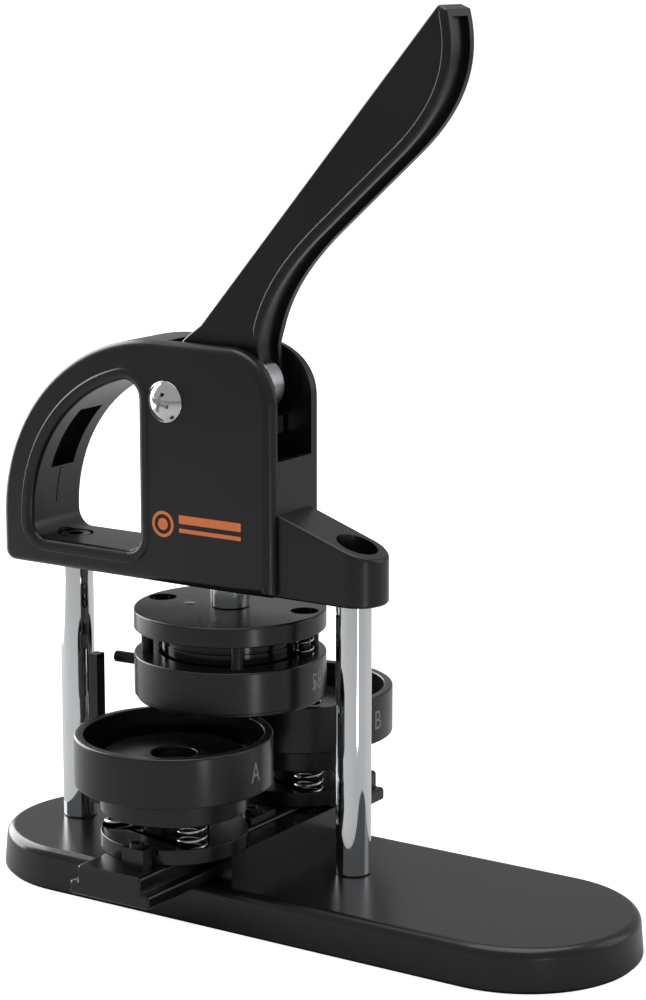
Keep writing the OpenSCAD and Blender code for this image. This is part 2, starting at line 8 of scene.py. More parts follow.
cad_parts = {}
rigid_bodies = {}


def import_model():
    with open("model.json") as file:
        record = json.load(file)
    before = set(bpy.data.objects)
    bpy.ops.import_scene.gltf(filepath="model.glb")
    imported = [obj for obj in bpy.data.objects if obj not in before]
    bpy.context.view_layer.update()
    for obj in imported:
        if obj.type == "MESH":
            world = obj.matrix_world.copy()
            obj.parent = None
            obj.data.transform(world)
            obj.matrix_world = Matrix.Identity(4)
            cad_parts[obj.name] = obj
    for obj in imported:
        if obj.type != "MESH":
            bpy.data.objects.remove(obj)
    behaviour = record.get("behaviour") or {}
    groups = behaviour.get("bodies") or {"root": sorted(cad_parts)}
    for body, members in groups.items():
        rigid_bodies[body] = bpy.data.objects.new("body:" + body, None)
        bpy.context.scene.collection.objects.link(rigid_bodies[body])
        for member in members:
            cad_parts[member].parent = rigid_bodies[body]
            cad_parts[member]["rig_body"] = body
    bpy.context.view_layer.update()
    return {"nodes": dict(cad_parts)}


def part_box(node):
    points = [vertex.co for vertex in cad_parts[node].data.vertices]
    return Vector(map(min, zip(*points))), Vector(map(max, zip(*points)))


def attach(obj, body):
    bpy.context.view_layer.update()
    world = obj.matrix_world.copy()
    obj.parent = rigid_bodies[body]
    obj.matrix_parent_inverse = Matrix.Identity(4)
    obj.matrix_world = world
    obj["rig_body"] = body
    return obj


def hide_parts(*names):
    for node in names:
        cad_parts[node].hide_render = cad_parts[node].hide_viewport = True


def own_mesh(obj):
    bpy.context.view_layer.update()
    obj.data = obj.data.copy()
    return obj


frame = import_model()
mm = 0.001
print("frame loaded:", len(frame["nodes"]), "nodes")


def nodeBox(node):
    low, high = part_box(node)
    return low / mm, high / mm


def linearColour(code):
    channels = [int(code[i:i + 2], 16) / 255 for i in (1, 3, 5)]
    return [c / 12.92 if c <= 0.04045 else ((c + 0.055) / 1.055) ** 2.4 for c in channels] + [1.0]


def addNode(tree, kind, inputs=None, **settings):
    node = tree.nodes.new(kind)
    for name, value in settings.items():
        setattr(node, name, value)
    for name, value in (inputs or {}).items():
        if isinstance(value, bpy.types.NodeSocket):
            tree.links.new(value, node.inputs[name])
        else:
            node.inputs[name].default_value = value
    return node


def startMaterial(name, **shaderValues):
    material = bpy.data.materials.new(name)
    material.use_nodes = True
    tree = material.node_tree
    tree.nodes.clear()
    shader = addNode(tree, "ShaderNodeBsdfPrincipled", shaderValues)
    addNode(tree, "ShaderNodeOutputMaterial", {"Surface": shader.outputs[0]})
    return material, tree, shader


def paint(tree, shader, colour, patchy, rough, roughPatchy, scale):
    # colour and gloss that wander slowly over the surface, scale in patches per metre
    place = addNode(tree, "ShaderNodeTexCoord").outputs["Object"]
    cloud = addNode(tree, "ShaderNodeTexNoise", {"Vector": place, "Scale": scale, "Detail": 4.0})
    tint = addNode(tree, "ShaderNodeMix", {"Factor": cloud.outputs["Fac"]}, data_type="RGBA")
    tint.inputs[6].default_value = linearColour(colour)
    tint.inputs[7].default_value = linearColour(patchy)
    tree.links.new(tint.outputs[2], shader.inputs["Base Color"])
    gloss = addNode(tree, "ShaderNodeMapRange", {
        "Value": cloud.outputs["Fac"], "From Min": 0.3, "From Max": 0.7,
        "To Min": rough - roughPatchy, "To Max": rough + roughPatchy})
    tree.links.new(gloss.outputs[0], shader.inputs["Roughness"])
    return place


def pressHeight(tree, shader, height, depth):
    # relief of a given depth in millimetres
    bump = addNode(tree, "ShaderNodeBump", {"Height": height, "Strength": 1.0, "Distance": depth * mm})
    tree.links.new(bump.outputs[0], shader.inputs["Normal"])


def mouldedAbs():
    # ABS moulded against a spark-eroded tool: a soft sheen broken by a fine even grain
    material, tree, shader = startMaterial("satinBlackAbs", IOR=1.5)
    place = paint(tree, shader, "#0e0e10", "#131315", 0.3, 0.03, 30)
    grain = addNode(tree, "ShaderNodeTexNoise", {"Vector": place, "Scale": 1400.0, "Detail": 2.0})
    pressHeight(tree, shader, grain.outputs["Fac"], 0.02)
    return material


def powderCoat():
    # semi-gloss black powder coat over a casting: smooth, with a faint orange peel 3 mm across
    material, tree, shader = startMaterial("semiGlossPowderCoat", IOR=1.5)
    place = paint(tree, shader, "#0d0d0e", "#131315", 0.24, 0.03, 18)
    peel = addNode(tree, "ShaderNodeTexNoise", {"Vector": place, "Scale": 330.0, "Detail": 1.0})
    pressHeight(tree, shader, peel.outputs["Fac"], 0.03)
    return material


def turnedBlack(name, centre, colour="#111113", rough=0.26, metal=0.3):
    # black anodised aluminium, turned: the tool leaves rings about 0.3 mm apart, drawn at 1.6 mm to show
    material, tree, shader = startMaterial(name, IOR=1.6, Metallic=metal)
    place = paint(tree, shader, colour, "#1c1c1f", rough, 0.04, 40)
    ringPitch = 1.6 * mm
    toCentre = (-centre[0] * mm, -centre[1] * mm, 0)
    centred = addNode(tree, "ShaderNodeMapping", {"Vector": place, "Location": toCentre})
    apart = addNode(tree, "ShaderNodeSeparateXYZ", {"Vector": centred.outputs[0]})
    flat = addNode(tree, "ShaderNodeCombineXYZ", {"X": apart.outputs[0], "Y": apart.outputs[1]})
    radius = addNode(tree, "ShaderNodeVectorMath", {0: flat.outputs[0]}, operation="LENGTH")
    along = addNode(tree, "ShaderNodeMath", {0: radius.outputs["Value"], 1: apart.outputs[2]},
                    operation="ADD")
    rings = addNode(tree, "ShaderNodeMath", {0: along.outputs[0], 1: 2 * math.pi / ringPitch},
                    operation="MULTIPLY")
    wave = addNode(tree, "ShaderNodeMath", {0: rings.outputs[0]}, operation="SINE")
    streak = addNode(tree, "ShaderNodeTexNoise", {"W": along.outputs[0], "Scale": 600.0, "Detail": 2.0},
                     noise_dimensions="1D")
    height = addNode(tree, "ShaderNodeMath", {0: wave.outputs[0], 1: 0.25, 2: streak.outputs["Fac"]},
                     operation="MULTIPLY_ADD")
    pressHeight(tree, shader, height.outputs[0], 0.003)
    return material


def anodisedBar():
    # sawn and anodised aluminium bar: fine lines along the saw's travel
    material, tree, shader = startMaterial("blackAnodisedBar", IOR=1.6, Metallic=0.25)
    place = paint(tree, shader, "#0e0e10", "#151517", 0.24, 0.04, 25)
    drawn = addNode(tree, "ShaderNodeMapping", {"Vector": place, "Scale": (1.0, 0.04, 1.0)})
    lines = addNode(tree, "ShaderNodeTexNoise", {"Vector": drawn.outputs[0], "Scale": 1600.0, "Detail": 2.0})
    pressHeight(tree, shader, lines.outputs["Fac"], 0.006)
    return material


def chromePlate():
    # bright chrome over ground steel: a near mirror, with hairlines left by the polishing mop
    material, tree, shader = startMaterial("polishedChrome", Metallic=1.0)
    place = paint(tree, shader, "#e6e8ea", "#dcdfe2", 0.05, 0.015, 35)
    hair = addNode(tree, "ShaderNodeMapping", {"Vector": place, "Scale": (1.0, 1.0, 0.03)})
    lines = addNode(tree, "ShaderNodeTexNoise", {"Vector": hair.outputs[0], "Scale": 2200.0, "Detail": 2.0})
    pressHeight(tree, shader, lines.outputs["Fac"], 0.0001)
    return material


def groundSteel(name, axis):
    # ground steel: grinding lines run round the part, about 0.4 mm apart
    material, tree, shader = startMaterial(name, Metallic=1.0)
    place = paint(tree, shader, "#b9bbbe", "#a6a8ab", 0.24, 0.04, 60)
    squeezed = [0.05, 0.05, 0.05]
    squeezed[axis] = 1.0
    lay = addNode(tree, "ShaderNodeMapping", {"Vector": place, "Scale": squeezed})
    lines = addNode(tree, "ShaderNodeTexNoise", {"Vector": lay.outputs[0], "Scale": 2500.0, "Detail": 3.0})
    pressHeight(tree, shader, lines.outputs["Fac"], 0.006)
    return material


def springWire():
    # hard-drawn spring wire: bright, with die marks along it too fine to see and a little oil bloom
    material, tree, shader = startMaterial("brightSpringWire", Metallic=1.0)
    place = paint(tree, shader, "#d4d6d9", "#b4b6ba", 0.18, 0.05, 150)
    marks = addNode(tree, "ShaderNodeTexNoise", {"Vector": place, "Scale": 1800.0, "Detail": 2.0})
    pressHeight(tree, shader, marks.outputs["Fac"], 0.004)
    return material


def nickelPlate():
    # nickel-plated steel: bright and slightly warm, with pressing marks
    material, tree, shader = startMaterial("brightNickelPlate", Metallic=1.0)
    place = paint(tree, shader, "#dfe0e0", "#cfd0d1", 0.12, 0.03, 90)
    marks = addNode(tree, "ShaderNodeTexNoise", {"Vector": place, "Scale": 700.0, "Detail": 3.0})
    pressHeight(tree, shader, marks.outputs["Fac"], 0.006)
    return material


def zincPlate():
    # zinc-plated steel: grey, cloudy crystals about 2 mm across
    material, tree, shader = startMaterial("zincPlate", Metallic=1.0)
    place = paint(tree, shader, "#9fa2a6", "#85888c", 0.34, 0.06, 120)
    cells = addNode(tree, "ShaderNodeTexVoronoi", {"Vector": place, "Scale": 500.0})
    pressHeight(tree, shader, cells.outputs["Distance"], 0.004)
    return material


def blackOxide():
    # black oxide on steel: dark, oily, slightly uneven
    material, tree, shader = startMaterial("blackOxideSteel", Metallic=0.6)
    place = paint(tree, shader, "#17171a", "#242427", 0.3, 0.07, 180)
    marks = addNode(tree, "ShaderNodeTexNoise", {"Vector": place, "Scale": 1500.0, "Detail": 3.0})
    pressHeight(tree, shader, marks.outputs["Fac"], 0.008)
    return material


def sinteredBronze():
    # oil-filled sintered bronze: dull gold with fine pores
    material, tree, shader = startMaterial("sinteredBronze", Metallic=1.0)
    place = paint(tree, shader, "#a9803f", "#8d6a34", 0.42, 0.06, 150)
    pores = addNode(tree, "ShaderNodeTexVoronoi", {"Vector": place, "Scale": 1800.0})
    pressHeight(tree, shader, pores.outputs["Distance"], 0.02)
    return material


def padRubber():
    # calendered rubber sheet: dead matt, with a cloth-like fine texture
    material, tree, shader = startMaterial("mattRubber", IOR=1.5)
    place = paint(tree, shader, "#161616", "#1f1f1f", 0.85, 0.05, 60)
    cloth = addNode(tree, "ShaderNodeTexNoise", {"Vector": place, "Scale": 900.0, "Detail": 4.0})
    pressHeight(tree, shader, cloth.outputs["Fac"], 0.05)
    return material


def laserGrey():
    # laser-etched anodising: a pale matt grey with a faint speckle
    material, tree, shader = startMaterial("laserEtchedGrey", IOR=1.5)
    place = paint(tree, shader, "#8f9194", "#77797c", 0.6, 0.05, 900)
    speck = addNode(tree, "ShaderNodeTexNoise", {"Vector": place, "Scale": 4000.0})
    pressHeight(tree, shader, speck.outputs["Fac"], 0.01)
    return material


def padPrintInk():
    # pad-printed ink: flat orange, a little denser in patches
    material, tree, shader = startMaterial("orangePadPrint", IOR=1.5)
    place = paint(tree, shader, "#f7894a", "#ef7f42", 0.5, 0.04, 300)
    skin = addNode(tree, "ShaderNodeTexNoise", {"Vector": place, "Scale": 2500.0})
    pressHeight(tree, shader, skin.outputs["Fac"], 0.006)
    return material


def middleOf(node):
    low, high = nodeBox(node)
    return (low + high) / 2


dieA = middleOf("die_a_core")
dieB = middleOf("die_b_core")
blackAbs = mouldedAbs()
coat = powderCoat()
chrome = chromePlate()
oxide = blackOxide()
wire = springWire()
nickel = nickelPlate()
zinc = zincPlate()
bronze = sinteredBronze()
bar = anodisedBar()
rubber = padRubber()
etched = laserGrey()
ink = padPrintInk()
turnedTop = turnedBlack("turnedAnodisedTop", (0, 0))
turnedA = turnedBlack("turnedAnodisedA", dieA)
turnedB = turnedBlack("turnedAnodisedB", dieB)
coreTop = turnedBlack("blackenedCoreTop", (0, 0), "#26262a", 0.14, 0.75)
coreA = turnedBlack("blackenedCoreA", dieA, "#161618", 0.2)
coreB = turnedBlack("blackenedCoreB", dieB, "#161618", 0.2)
groundRound = groundSteel("groundSteelUpright", 2)
groundAcross = groundSteel("groundSteelCrosswise", 1)
print("finishes made:", len(bpy.data.materials))


def objectOf(mesh, name):
    obj = bpy.data.objects.new(name, mesh)
    bpy.context.scene.collection.objects.link(obj)
    return obj


def fromBmesh(bm, name):
    bmesh.ops.remove_doubles(bm, verts=bm.verts, dist=1e-7)
    bmesh.ops.recalc_face_normals(bm, faces=bm.faces)
    mesh = bpy.data.meshes.new(name)
    bm.to_mesh(mesh)
    bm.free()
    return objectOf(mesh, name)


def arc(centre, radius, start, end, steps):
    turns = [math.radians(start + (end - start) * i / steps) for i in range(steps + 1)]
    return [(centre[0] + radius * math.cos(t), centre[1] + radius * math.sin(t)) for t in turns]


def roundCorners(corners, steps=5):
    # corners of a closed outline as (x, y, radius)
    points = []
    for i, (x, y, radius) in enumerate(corners):
        here = Vector((x, y))
        back = (Vector(corners[i - 1][:2]) - here).normalized()
        ahead = (Vector(corners[(i + 1) % len(corners)][:2]) - here).normalized()
        if not radius:
            points.append((x, y))
            continue
        half = back.angle(ahead) / 2
        centre = here + (back + ahead).normalized() * radius / math.sin(half)
        first = here + back * radius / math.tan(half) - centre
        last = here + ahead * radius / math.tan(half) - centre
        turn = math.atan2(first.x * last.y - first.y * last.x, first.dot(last))
        for k in range(steps + 1):
            a = math.atan2(first.y, first.x) + turn * k / steps
            points.append((centre.x + radius * math.cos(a), centre.y + radius * math.sin(a)))
    return points


def lathe(name, section, centre=(0, 0, 0), axis="Z", steps=144):
    # a closed section of (radius, height, corner round), turned round an axis through the centre
    outline = roundCorners(section)
    bm = bmesh.new()
    rows = []
    for k in range(steps):
        turn = 2 * math.pi * k / steps
        row = []
        for r, h in outline:
            spot = (r * math.cos(turn), r * math.sin(turn), h)
            if axis == "Y":
                spot = (spot[0], spot[2], spot[1])
            row.append(bm.verts.new((Vector(spot) + Vector(centre)) * mm))
        rows.append(row)
    for k in range(steps):
        for i in range(len(outline)):
            quad = (rows[k][i - 1], rows[k][i], rows[(k + 1) % steps][i], rows[(k + 1) % steps][i - 1])
            if abs(outline[i - 1][0]) + abs(outline[i][0]) > 1e-6:
                bm.faces.new(quad)
    bmesh.ops.remove_doubles(bm, verts=bm.verts, dist=1e-7)
    bmesh.ops.dissolve_degenerate(bm, edges=bm.edges, dist=1e-8)
    return fromBmesh(bm, name)


def inward(outline):
    # unit normals pointing left of travel, which is inwards for a counter-clockwise outline
    normals = []
    for i, point in enumerate(outline):
        back = (Vector(point) - Vector(outline[i - 1])).normalized()
        ahead = (Vector(outline[(i + 1) % len(outline)]) - Vector(point)).normalized()
        along = (back + ahead).normalized()
        normals.append(Vector((-along.y, along.x)) / max(along.dot(ahead), 0.5))
    return normals


def slab(name, loops):
    # each loop is a list of rings of points that run from one face of the slab to the other
    bm = bmesh.new()
    ends = [[], []]
    for rings in loops:
        rows = [[bm.verts.new(Vector(p) * mm) for p in ring] for ring in rings]
        for low, high in zip(rows, rows[1:]):
            for i in range(len(low)):
                bm.faces.new((low[i - 1], low[i], high[i], high[i - 1]))
        ends[0].append(rows[0])
        ends[1].append(rows[-1])
    for rows in ends:
        if len(rows) == 1:
            bm.faces.new(rows[0])
            continue
        rim = [bm.edges.get((row[i - 1], row[i])) for row in rows for i in range(len(row))]
        bmesh.ops.triangle_fill(bm, use_beauty=True, edges=rim)
    return fromBmesh(bm, name)


def acrossY(outline, rimAt, backAt=None):
    # rings for slab(): the outline is in X and Z, rimAt(i) lists (inset, distance from the middle plane)
    normals = inward(outline)
    rings = []
    for side in (-1, 1):
        rims = [(backAt if backAt and side > 0 else rimAt)(i) for i in range(len(outline))]
        levels = range(len(rims[0]))
        for k in (reversed(levels) if side < 0 else levels):
            rings.append([
                (p[0] + n.x * rim[k][0], side * rim[k][1], p[1] + n.y * rim[k][0])
                for p, n, rim in zip(outline, normals, rims)])
    return rings


def quarterRound(radius, reach, steps=6):
    # from the wall to the face: (inset, level) where the face is at reach
    turns = [math.pi / 2 * k / steps for k in range(steps + 1)]
    return [(radius * (1 - math.cos(t)), reach - radius + radius * math.sin(t)) for t in turns]


def applyModifiers(obj):
    mesh = bpy.data.meshes.new_from_object(obj.evaluated_get(bpy.context.evaluated_depsgraph_get()))
    obj.modifiers.clear()
    obj.data = mesh


def cut(obj, tool, operation="DIFFERENCE", crossing=False):
    modifier = obj.modifiers.new("cut", "BOOLEAN")
    modifier.object = tool
    modifier.operation = operation
    modifier.solver = "EXACT"
    modifier.use_self = crossing
    applyModifiers(obj)
    bpy.data.objects.remove(tool)


def around(angles, radius, centre=(0, 0)):
    return [(centre[0] + radius * math.cos(math.radians(a)), centre[1] + radius * math.sin(math.radians(a)))
            for a in angles]


def drill(obj, spots, radius, low, high, steps=48):
    for x, y in spots:
        cut(obj, lathe("drill", [(0, low, 0), (radius, low, 0), (radius, high, 0), (0, high, 0)], (x, y, 0),
                       steps=steps))


def flatten(obj):
    # merges the slivers that booleans leave on flat faces, so bevels and shading stay clean
    bm = bmesh.new()
    bm.from_mesh(obj.data)
    bmesh.ops.remove_doubles(bm, verts=bm.verts, dist=2e-6)
    bmesh.ops.dissolve_limit(bm, angle_limit=math.radians(0.4), verts=bm.verts, edges=bm.edges)
    bm.to_mesh(obj.data)
    bm.free()


def copyOfNode(node, name):
    source = frame["nodes"][node].data
    bm = bmesh.new()
    bm.from_mesh(source)
    bmesh.ops.remove_doubles(bm, verts=bm.verts, dist=2e-6)
    bmesh.ops.dissolve_limit(bm, angle_limit=math.radians(1), verts=bm.verts, edges=bm.edges)
    return fromBmesh(bm, name)


def finishPiece(obj, material, nodes, bevel=0.0, body=None, sharp=32):
    obj.data.materials.clear()
    obj.data.materials.append(material)
    for face in obj.data.polygons:
        face.use_smooth = True
        face.material_index = 0
    if bevel:
        modifier = obj.modifiers.new("edges", "BEVEL")
        modifier.width = bevel * mm
        modifier.segments = 3
        modifier.limit_method = "ANGLE"
        modifier.angle_limit = math.radians(sharp)
        modifier.miter_outer = "MITER_ARC"
        modifier.harden_normals = True
        applyModifiers(obj)
    obj.data.set_sharp_from_angle(angle=math.radians(sharp + 8))
    weighted = obj.modifiers.new("flatFaces", "WEIGHTED_NORMAL")
    weighted.keep_sharp = True
    applyModifiers(obj)
    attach(obj, body or frame["nodes"][nodes[0]]["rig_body"])
    if nodes:
        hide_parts(*nodes)
    return obj


def softened(node, name, material, bevel):
    return finishPiece(copyOfNode(node, name), material, [node], bevel)


baseSettings = {"endRound": 4, "draft": 1, "footRound": 0.6}


def stadium(low, high, steps=40):
    radius = (high.y - low.y) / 2
    right = arc((high.x - radius, 0), radius, -90, 90, steps)
    left = arc((low.x + radius, 0), radius, 90, 270, steps)
    return right + left


def makeBase():
    low, high = nodeBox("base_body")
    outline = stadium(low, high)
    normals = inward(outline)
    draft, edge, foot = baseSettings["draft"], baseSettings["endRound"], baseSettings["footRound"]
    profile = [(foot, low.z), (foot * 0.3, low.z + foot * 0.3), (0, low.z + foot)]
    profile += [(draft + inset, level) for inset, level in quarterRound(edge, high.z, 10)]
    rings = [[(p[0] + n.x * inset, p[1] + n.y * inset, level) for p, n in zip(outline, normals)]
             for inset, level in profile]
    finishPiece(slab("baseCasting", [rings]), coat, ["base_body"])
    softened("base_pad", "basePad", rubber, 0.3)
    softened("base_plate", "baseCoverPlate", zinc, 0.2)
    softened("base_plate_screws", "baseCoverScrews", zinc, 0.2)
    for side in ("left", "right"):
        softened(f"rail_{side}", f"guideRail_{side}", bar, 0.7)
    softened("rail_screws", "guideRailScrews", oxide, 0.25)
    softened("stop_pin", "carriageStopPin", zinc, 0.3)


makeBase()
print("base made")


def makeColumns():
    for side in ("left", "right"):
        low, high = nodeBox(f"column_{side}")
        radius = (high.x - low.x) / 2
        section = [(0, low.z, 0), (radius, low.z, 0.8), (radius, high.z, 0.8), (0, high.z, 0)]
        column = lathe(f"column_{side}_chromed", section, ((low.x + high.x) / 2, 0, 0))
        finishPiece(column, chrome, [f"column_{side}"])
    softened("column_base_screws", "columnBaseScrews", oxide, 0.4)
    softened("column_head_screws", "columnHeadScrews", oxide, 0.4)


makeColumns()
print("columns made")


headSettings = {
    "gripCentre": (-26, 150), "gripRadius": 79.5, "openingRadius": 64, "openingRight": -33.5,
    "openingFloor": 141.5, "openingRound": 7, "right": 32, "topRound": 21.5, "footRound": 5,
    "edgeRound": 3.2, "frontEdgeRound": 4.6, "backEdgeRound": 1.2, "blendFrom": 22, "blendOver": 9,
    "openingEdgeRound": 3, "lip": 0.5, "lipWidth": 1.6, "lipFall": 0.7, "toeRound": 2,
    "floorStops": (-60, -20, 10), "wallStops": (136, 145, 165, 185, 200),
    "slotHalfWidth": 12, "endWall": 3.5, "slotFloor": 152, "slotLedge": 185, "slotTop": 240,
    "slotLeft": -31, "slotRight": 44, "slotBack": ((-15.6, 240), (-19.5, 233), (-31, 212)),
    "bossRoot": 20, "bossRadius": 12.2, "bossHigh": 163.7, "bossLow": 149, "bossRound": 1.4,
    "bossChamfer": 0.8, "bushBore": 11, "bushTop": 160, "pinBore": 5.05, "screwBore": 4.05,
    "toolLow": 120, "toolHalf": 30, "columnPlay": 0.05,
    "gripCuts": {"gripWindow": (134, 28, 63, 70, -7, 8), "gripSeam": (162.5, 14, 63, 64.35, -0.3, 0.3)},
    "leftBore": 7.6, "leftSeat": 137.2, "rightBore": 8.3, "rightBoreX": 61.7, "rightSeat": 141}


def headOutline(s, low):
    centre, radius = s["gripCentre"], s["gripRadius"]
    foot, top = s["footRound"], s["topRound"]
    crown = centre[1] + radius
    points = arc((low.x + foot, low.z + foot), foot, 180, 270, 6)
    points += [(x, low.z) for x in s["floorStops"]]
    points += arc((s["right"] - s["toeRound"], low.z + s["toeRound"]), s["toeRound"], -90, 0, 4)
    points += [(s["right"], z) for z in s["wallStops"]]
    points += arc((s["right"] - top, crown - top), top, 0, 90, 16)
    points += arc(centre, radius, 90, 180, 48)
    return points


def openingOutline(s):
    cx, cz = s["gripCentre"]
    r, big = s["openingRound"], s["openingRadius"]
    right, floor = s["openingRight"], s["openingFloor"]
    lowCentre = (cx - math.sqrt((big - r) ** 2 - (floor + r - cz) ** 2), floor + r)
    highCentre = (right - r, cz + math.sqrt((big - r) ** 2 - (right - r - cx) ** 2))
    lowTurn = math.degrees(math.atan2(lowCentre[1] - cz, lowCentre[0] - cx)) % 360
    highTurn = math.degrees(math.atan2(highCentre[1] - cz, highCentre[0] - cx))
    points = arc((right - r, floor + r), r, -90, 0, 6)
    points += arc(highCentre, r, 0, highTurn, 8)
    points += arc(s["gripCentre"], big, highTurn, lowTurn, 40)[1:-1]
    points += arc(lowCentre, r, lowTurn, 270, 8)
    return points


def headBoss(s, low, high):
    radius = s["bossRadius"]
    column = high.x - radius
    root, chamfer = s["bossRoot"], s["bossChamfer"]
    outline = [(root, -radius)] + arc((column, 0), radius, -90, 90, 24) + [(root, radius)]
    normals = inward(outline)
    slope = (s["bossLow"] - s["bossHigh"]) / (high.x - s["right"])
    rings = []
    for inset, rise in [(chamfer, 0), (0, chamfer)]:
        rings.append([(p[0] + n.x * inset, p[1] + n.y * inset, low.z + rise)
                      for p, n in zip(outline, normals)])
    for inset, level in quarterRound(s["bossRound"], 0, 5):
        ring = []
        for p, n in zip(outline, normals):
            x, y = p[0] + n.x * inset, p[1] + n.y * inset
            ring.append((x, y, s["bossHigh"] + slope * (x - s["right"]) + level))
        rings.append(ring)
    return slab("boss", [rings])


def makeHead():
    s = headSettings
    low, high = nodeBox("head_body")
    half = high.y
    outline = headOutline(s, low)

    def rimTo(cornerRound):
        # the edge's round changes to this one where the outline nears the right wall
        def rim(i):
            near = min(max((outline[i][0] - s["blendFrom"]) / s["blendOver"], 0), 1)
            return quarterRound(s["edgeRound"] + (cornerRound - s["edgeRound"]) * near, half)
        return rim

    opening = openingOutline(s)
    lip, width, edge = s["lip"], s["lipWidth"], s["openingEdgeRound"]
    openingRim = [(-inset, level + lip) for inset, level in quarterRound(edge, half)]
    openingRim += [(-edge - width, half + lip), (-edge - width - s["lipFall"], half)]
    outside = acrossY(outline, rimTo(s["frontEdgeRound"]), rimTo(s["backEdgeRound"]))
    head = slab("headMoulding", [outside, acrossY(opening, lambda i: openingRim)])
    cut(head, headBoss(s, low, high), "UNION")
    wall = s["right"] - s["endWall"]
    slot = [(s["slotLeft"], s["slotFloor"]), (wall, s["slotFloor"]), (wall, s["slotLedge"]),
            (s["slotRight"], s["slotLedge"]), (s["slotRight"], s["slotTop"]), *s["slotBack"]]
    slotRim = [(0, s["slotHalfWidth"])]
    cut(head, slab("slotTool", [acrossY(slot, lambda i: slotRim)]))
    start, half = s["toolLow"], s["toolHalf"]
    bore, end = s["bushBore"], s["bushTop"]
    cut(head, lathe("bushTool", [(0, start, 0), (bore, start, 0), (bore, end, 0), (0, end, 0)]))
    pivotLow, pivotHigh = nodeBox("lever_bush")
    pivot = ((pivotLow.x + pivotHigh.x) / 2, 0, (pivotLow.z + pivotHigh.z) / 2)
    bore = s["pinBore"]
    cut(head, lathe("pinTool", [(0, -half, 0), (bore, -half, 0), (bore, half, 0), (0, half, 0)],
                    pivot, "Y", 48))
    for side in ("left", "right"):
        columnLow, columnHigh = nodeBox(f"column_{side}")
        x = (columnLow.x + columnHigh.x) / 2
        radius = (columnHigh.x - columnLow.x) / 2 + s["columnPlay"]
        drill(head, [(x, 0)], radius, start, columnHigh.z, 96)
        drill(head, [(x, 0)], s["screwBore"], 132, 145)
        if side == "left":
            drill(head, [(x, 0)], s["leftBore"], s["leftSeat"], 144, 96)
        else:
            drill(head, [(s["rightBoreX"], 0)], s["rightBore"], s["rightSeat"], 185, 96)
    for name, (first, turn, inner, outer, front, back) in s["gripCuts"].items():
        last = first + turn
        edge = arc(s["gripCentre"], outer, first, last, 14) + arc(s["gripCentre"], inner, last, first, 14)
        cut(head, slab(name, [[[(x, y, z) for x, z in edge] for y in (front, back)]]))
    flatten(head)
    finishPiece(head, blackAbs, ["head_body"], 0.6)
    softened("ram_bush", "ramBush", bronze, 0.3)


makeHead()
print("head made")


leverSettings = {
    "wall": 3, "edgeRound": 1.1, "bead": 0.7, "beadWidth": 2.2, "hub": 10, "lobe": 8.5, "neckHalf": 6,
    "tip": (106, 362.5), "tipRound": 2.2, "tipCurve": ((110.5, 346), (108, 328), (85.9, 308)),
    "bellyCurve": ((48, 274.2), (34, 261), (23.5, 248), (20.4, 228.7)),
    "heel": (-23.2, 219), "heelCurve": ((-18.4, 227.4), (-16.5, 230.6), (-13, 232.4)), "hubEnd": -210,
    "spineLow": (-7.8, 236.5), "spineTurn": 49.4, "spineLength": 169, "spineThickness": 4.2,
    "mouth": 200, "mouthLow": 190, "mouthFar": 140, "tipClear": 30, "rollerRoom": 13,
    "bushBore": 7, "pinBore": 4.05, "toolHalf": 30,
    "ribCount": 10, "ribPitch": 15, "ribStart": 10, "ribThickness": 1.8, "ribDepth": 60, "ribInset": 2.5}


def bezier(a, b, c, d, steps):
    points = []
    for i in range(steps + 1):
        t = i / steps
        u = 1 - t
        weights = (u * u * u, 3 * u * u * t, 3 * u * t * t, t * t * t)
        points.append(tuple(sum(w * p[k] for w, p in zip(weights, (a, b, c, d))) for k in (0, 1)))
    return points


def alongSpine(s, along, across=0.0):
    turn = math.radians(s["spineTurn"])
    low = s["spineLow"]
    return (low[0] + along * math.cos(turn) + across * math.sin(turn),
            low[1] + along * math.sin(turn) - across * math.cos(turn))


def circleTurn(centre, point):
    return math.degrees(math.atan2(point[1] - centre[1], point[0] - centre[0]))


def leverOutline(s, pivot, roller):
    # clockwise from the tip; the count of points on the channel side comes back too
    channelSide = bezier(s["tip"], *s["tipCurve"], 18) + bezier(*s["bellyCurve"], 16)
    reach = Vector(roller) - Vector(pivot)
    along = reach.normalized()
    below = Vector((along.y, -along.x)) * s["neckHalf"]
    lobeEnd = Vector(roller) + below - along * math.sqrt(s["lobe"] ** 2 - s["neckHalf"] ** 2)
    hubStart = Vector(pivot) + below + along * math.sqrt(s["hub"] ** 2 - s["neckHalf"] ** 2)
    points = list(channelSide)
    points += arc(roller, s["lobe"], 0, circleTurn(roller, lobeEnd), 14)
    points += arc(pivot, s["hub"], circleTurn(pivot, hubStart), s["hubEnd"], 20)
    points += [s["heel"]] + bezier(*s["heelCurve"], s["spineLow"], 6)
    points += [alongSpine(s, s["spineLength"] * k / 6) for k in range(1, 6)]
    tipCentre = alongSpine(s, s["spineLength"] - 2, s["tipRound"])
    points += arc(tipCentre, s["tipRound"], s["spineTurn"] + 90, 92, 4)
    return points, len(channelSide)


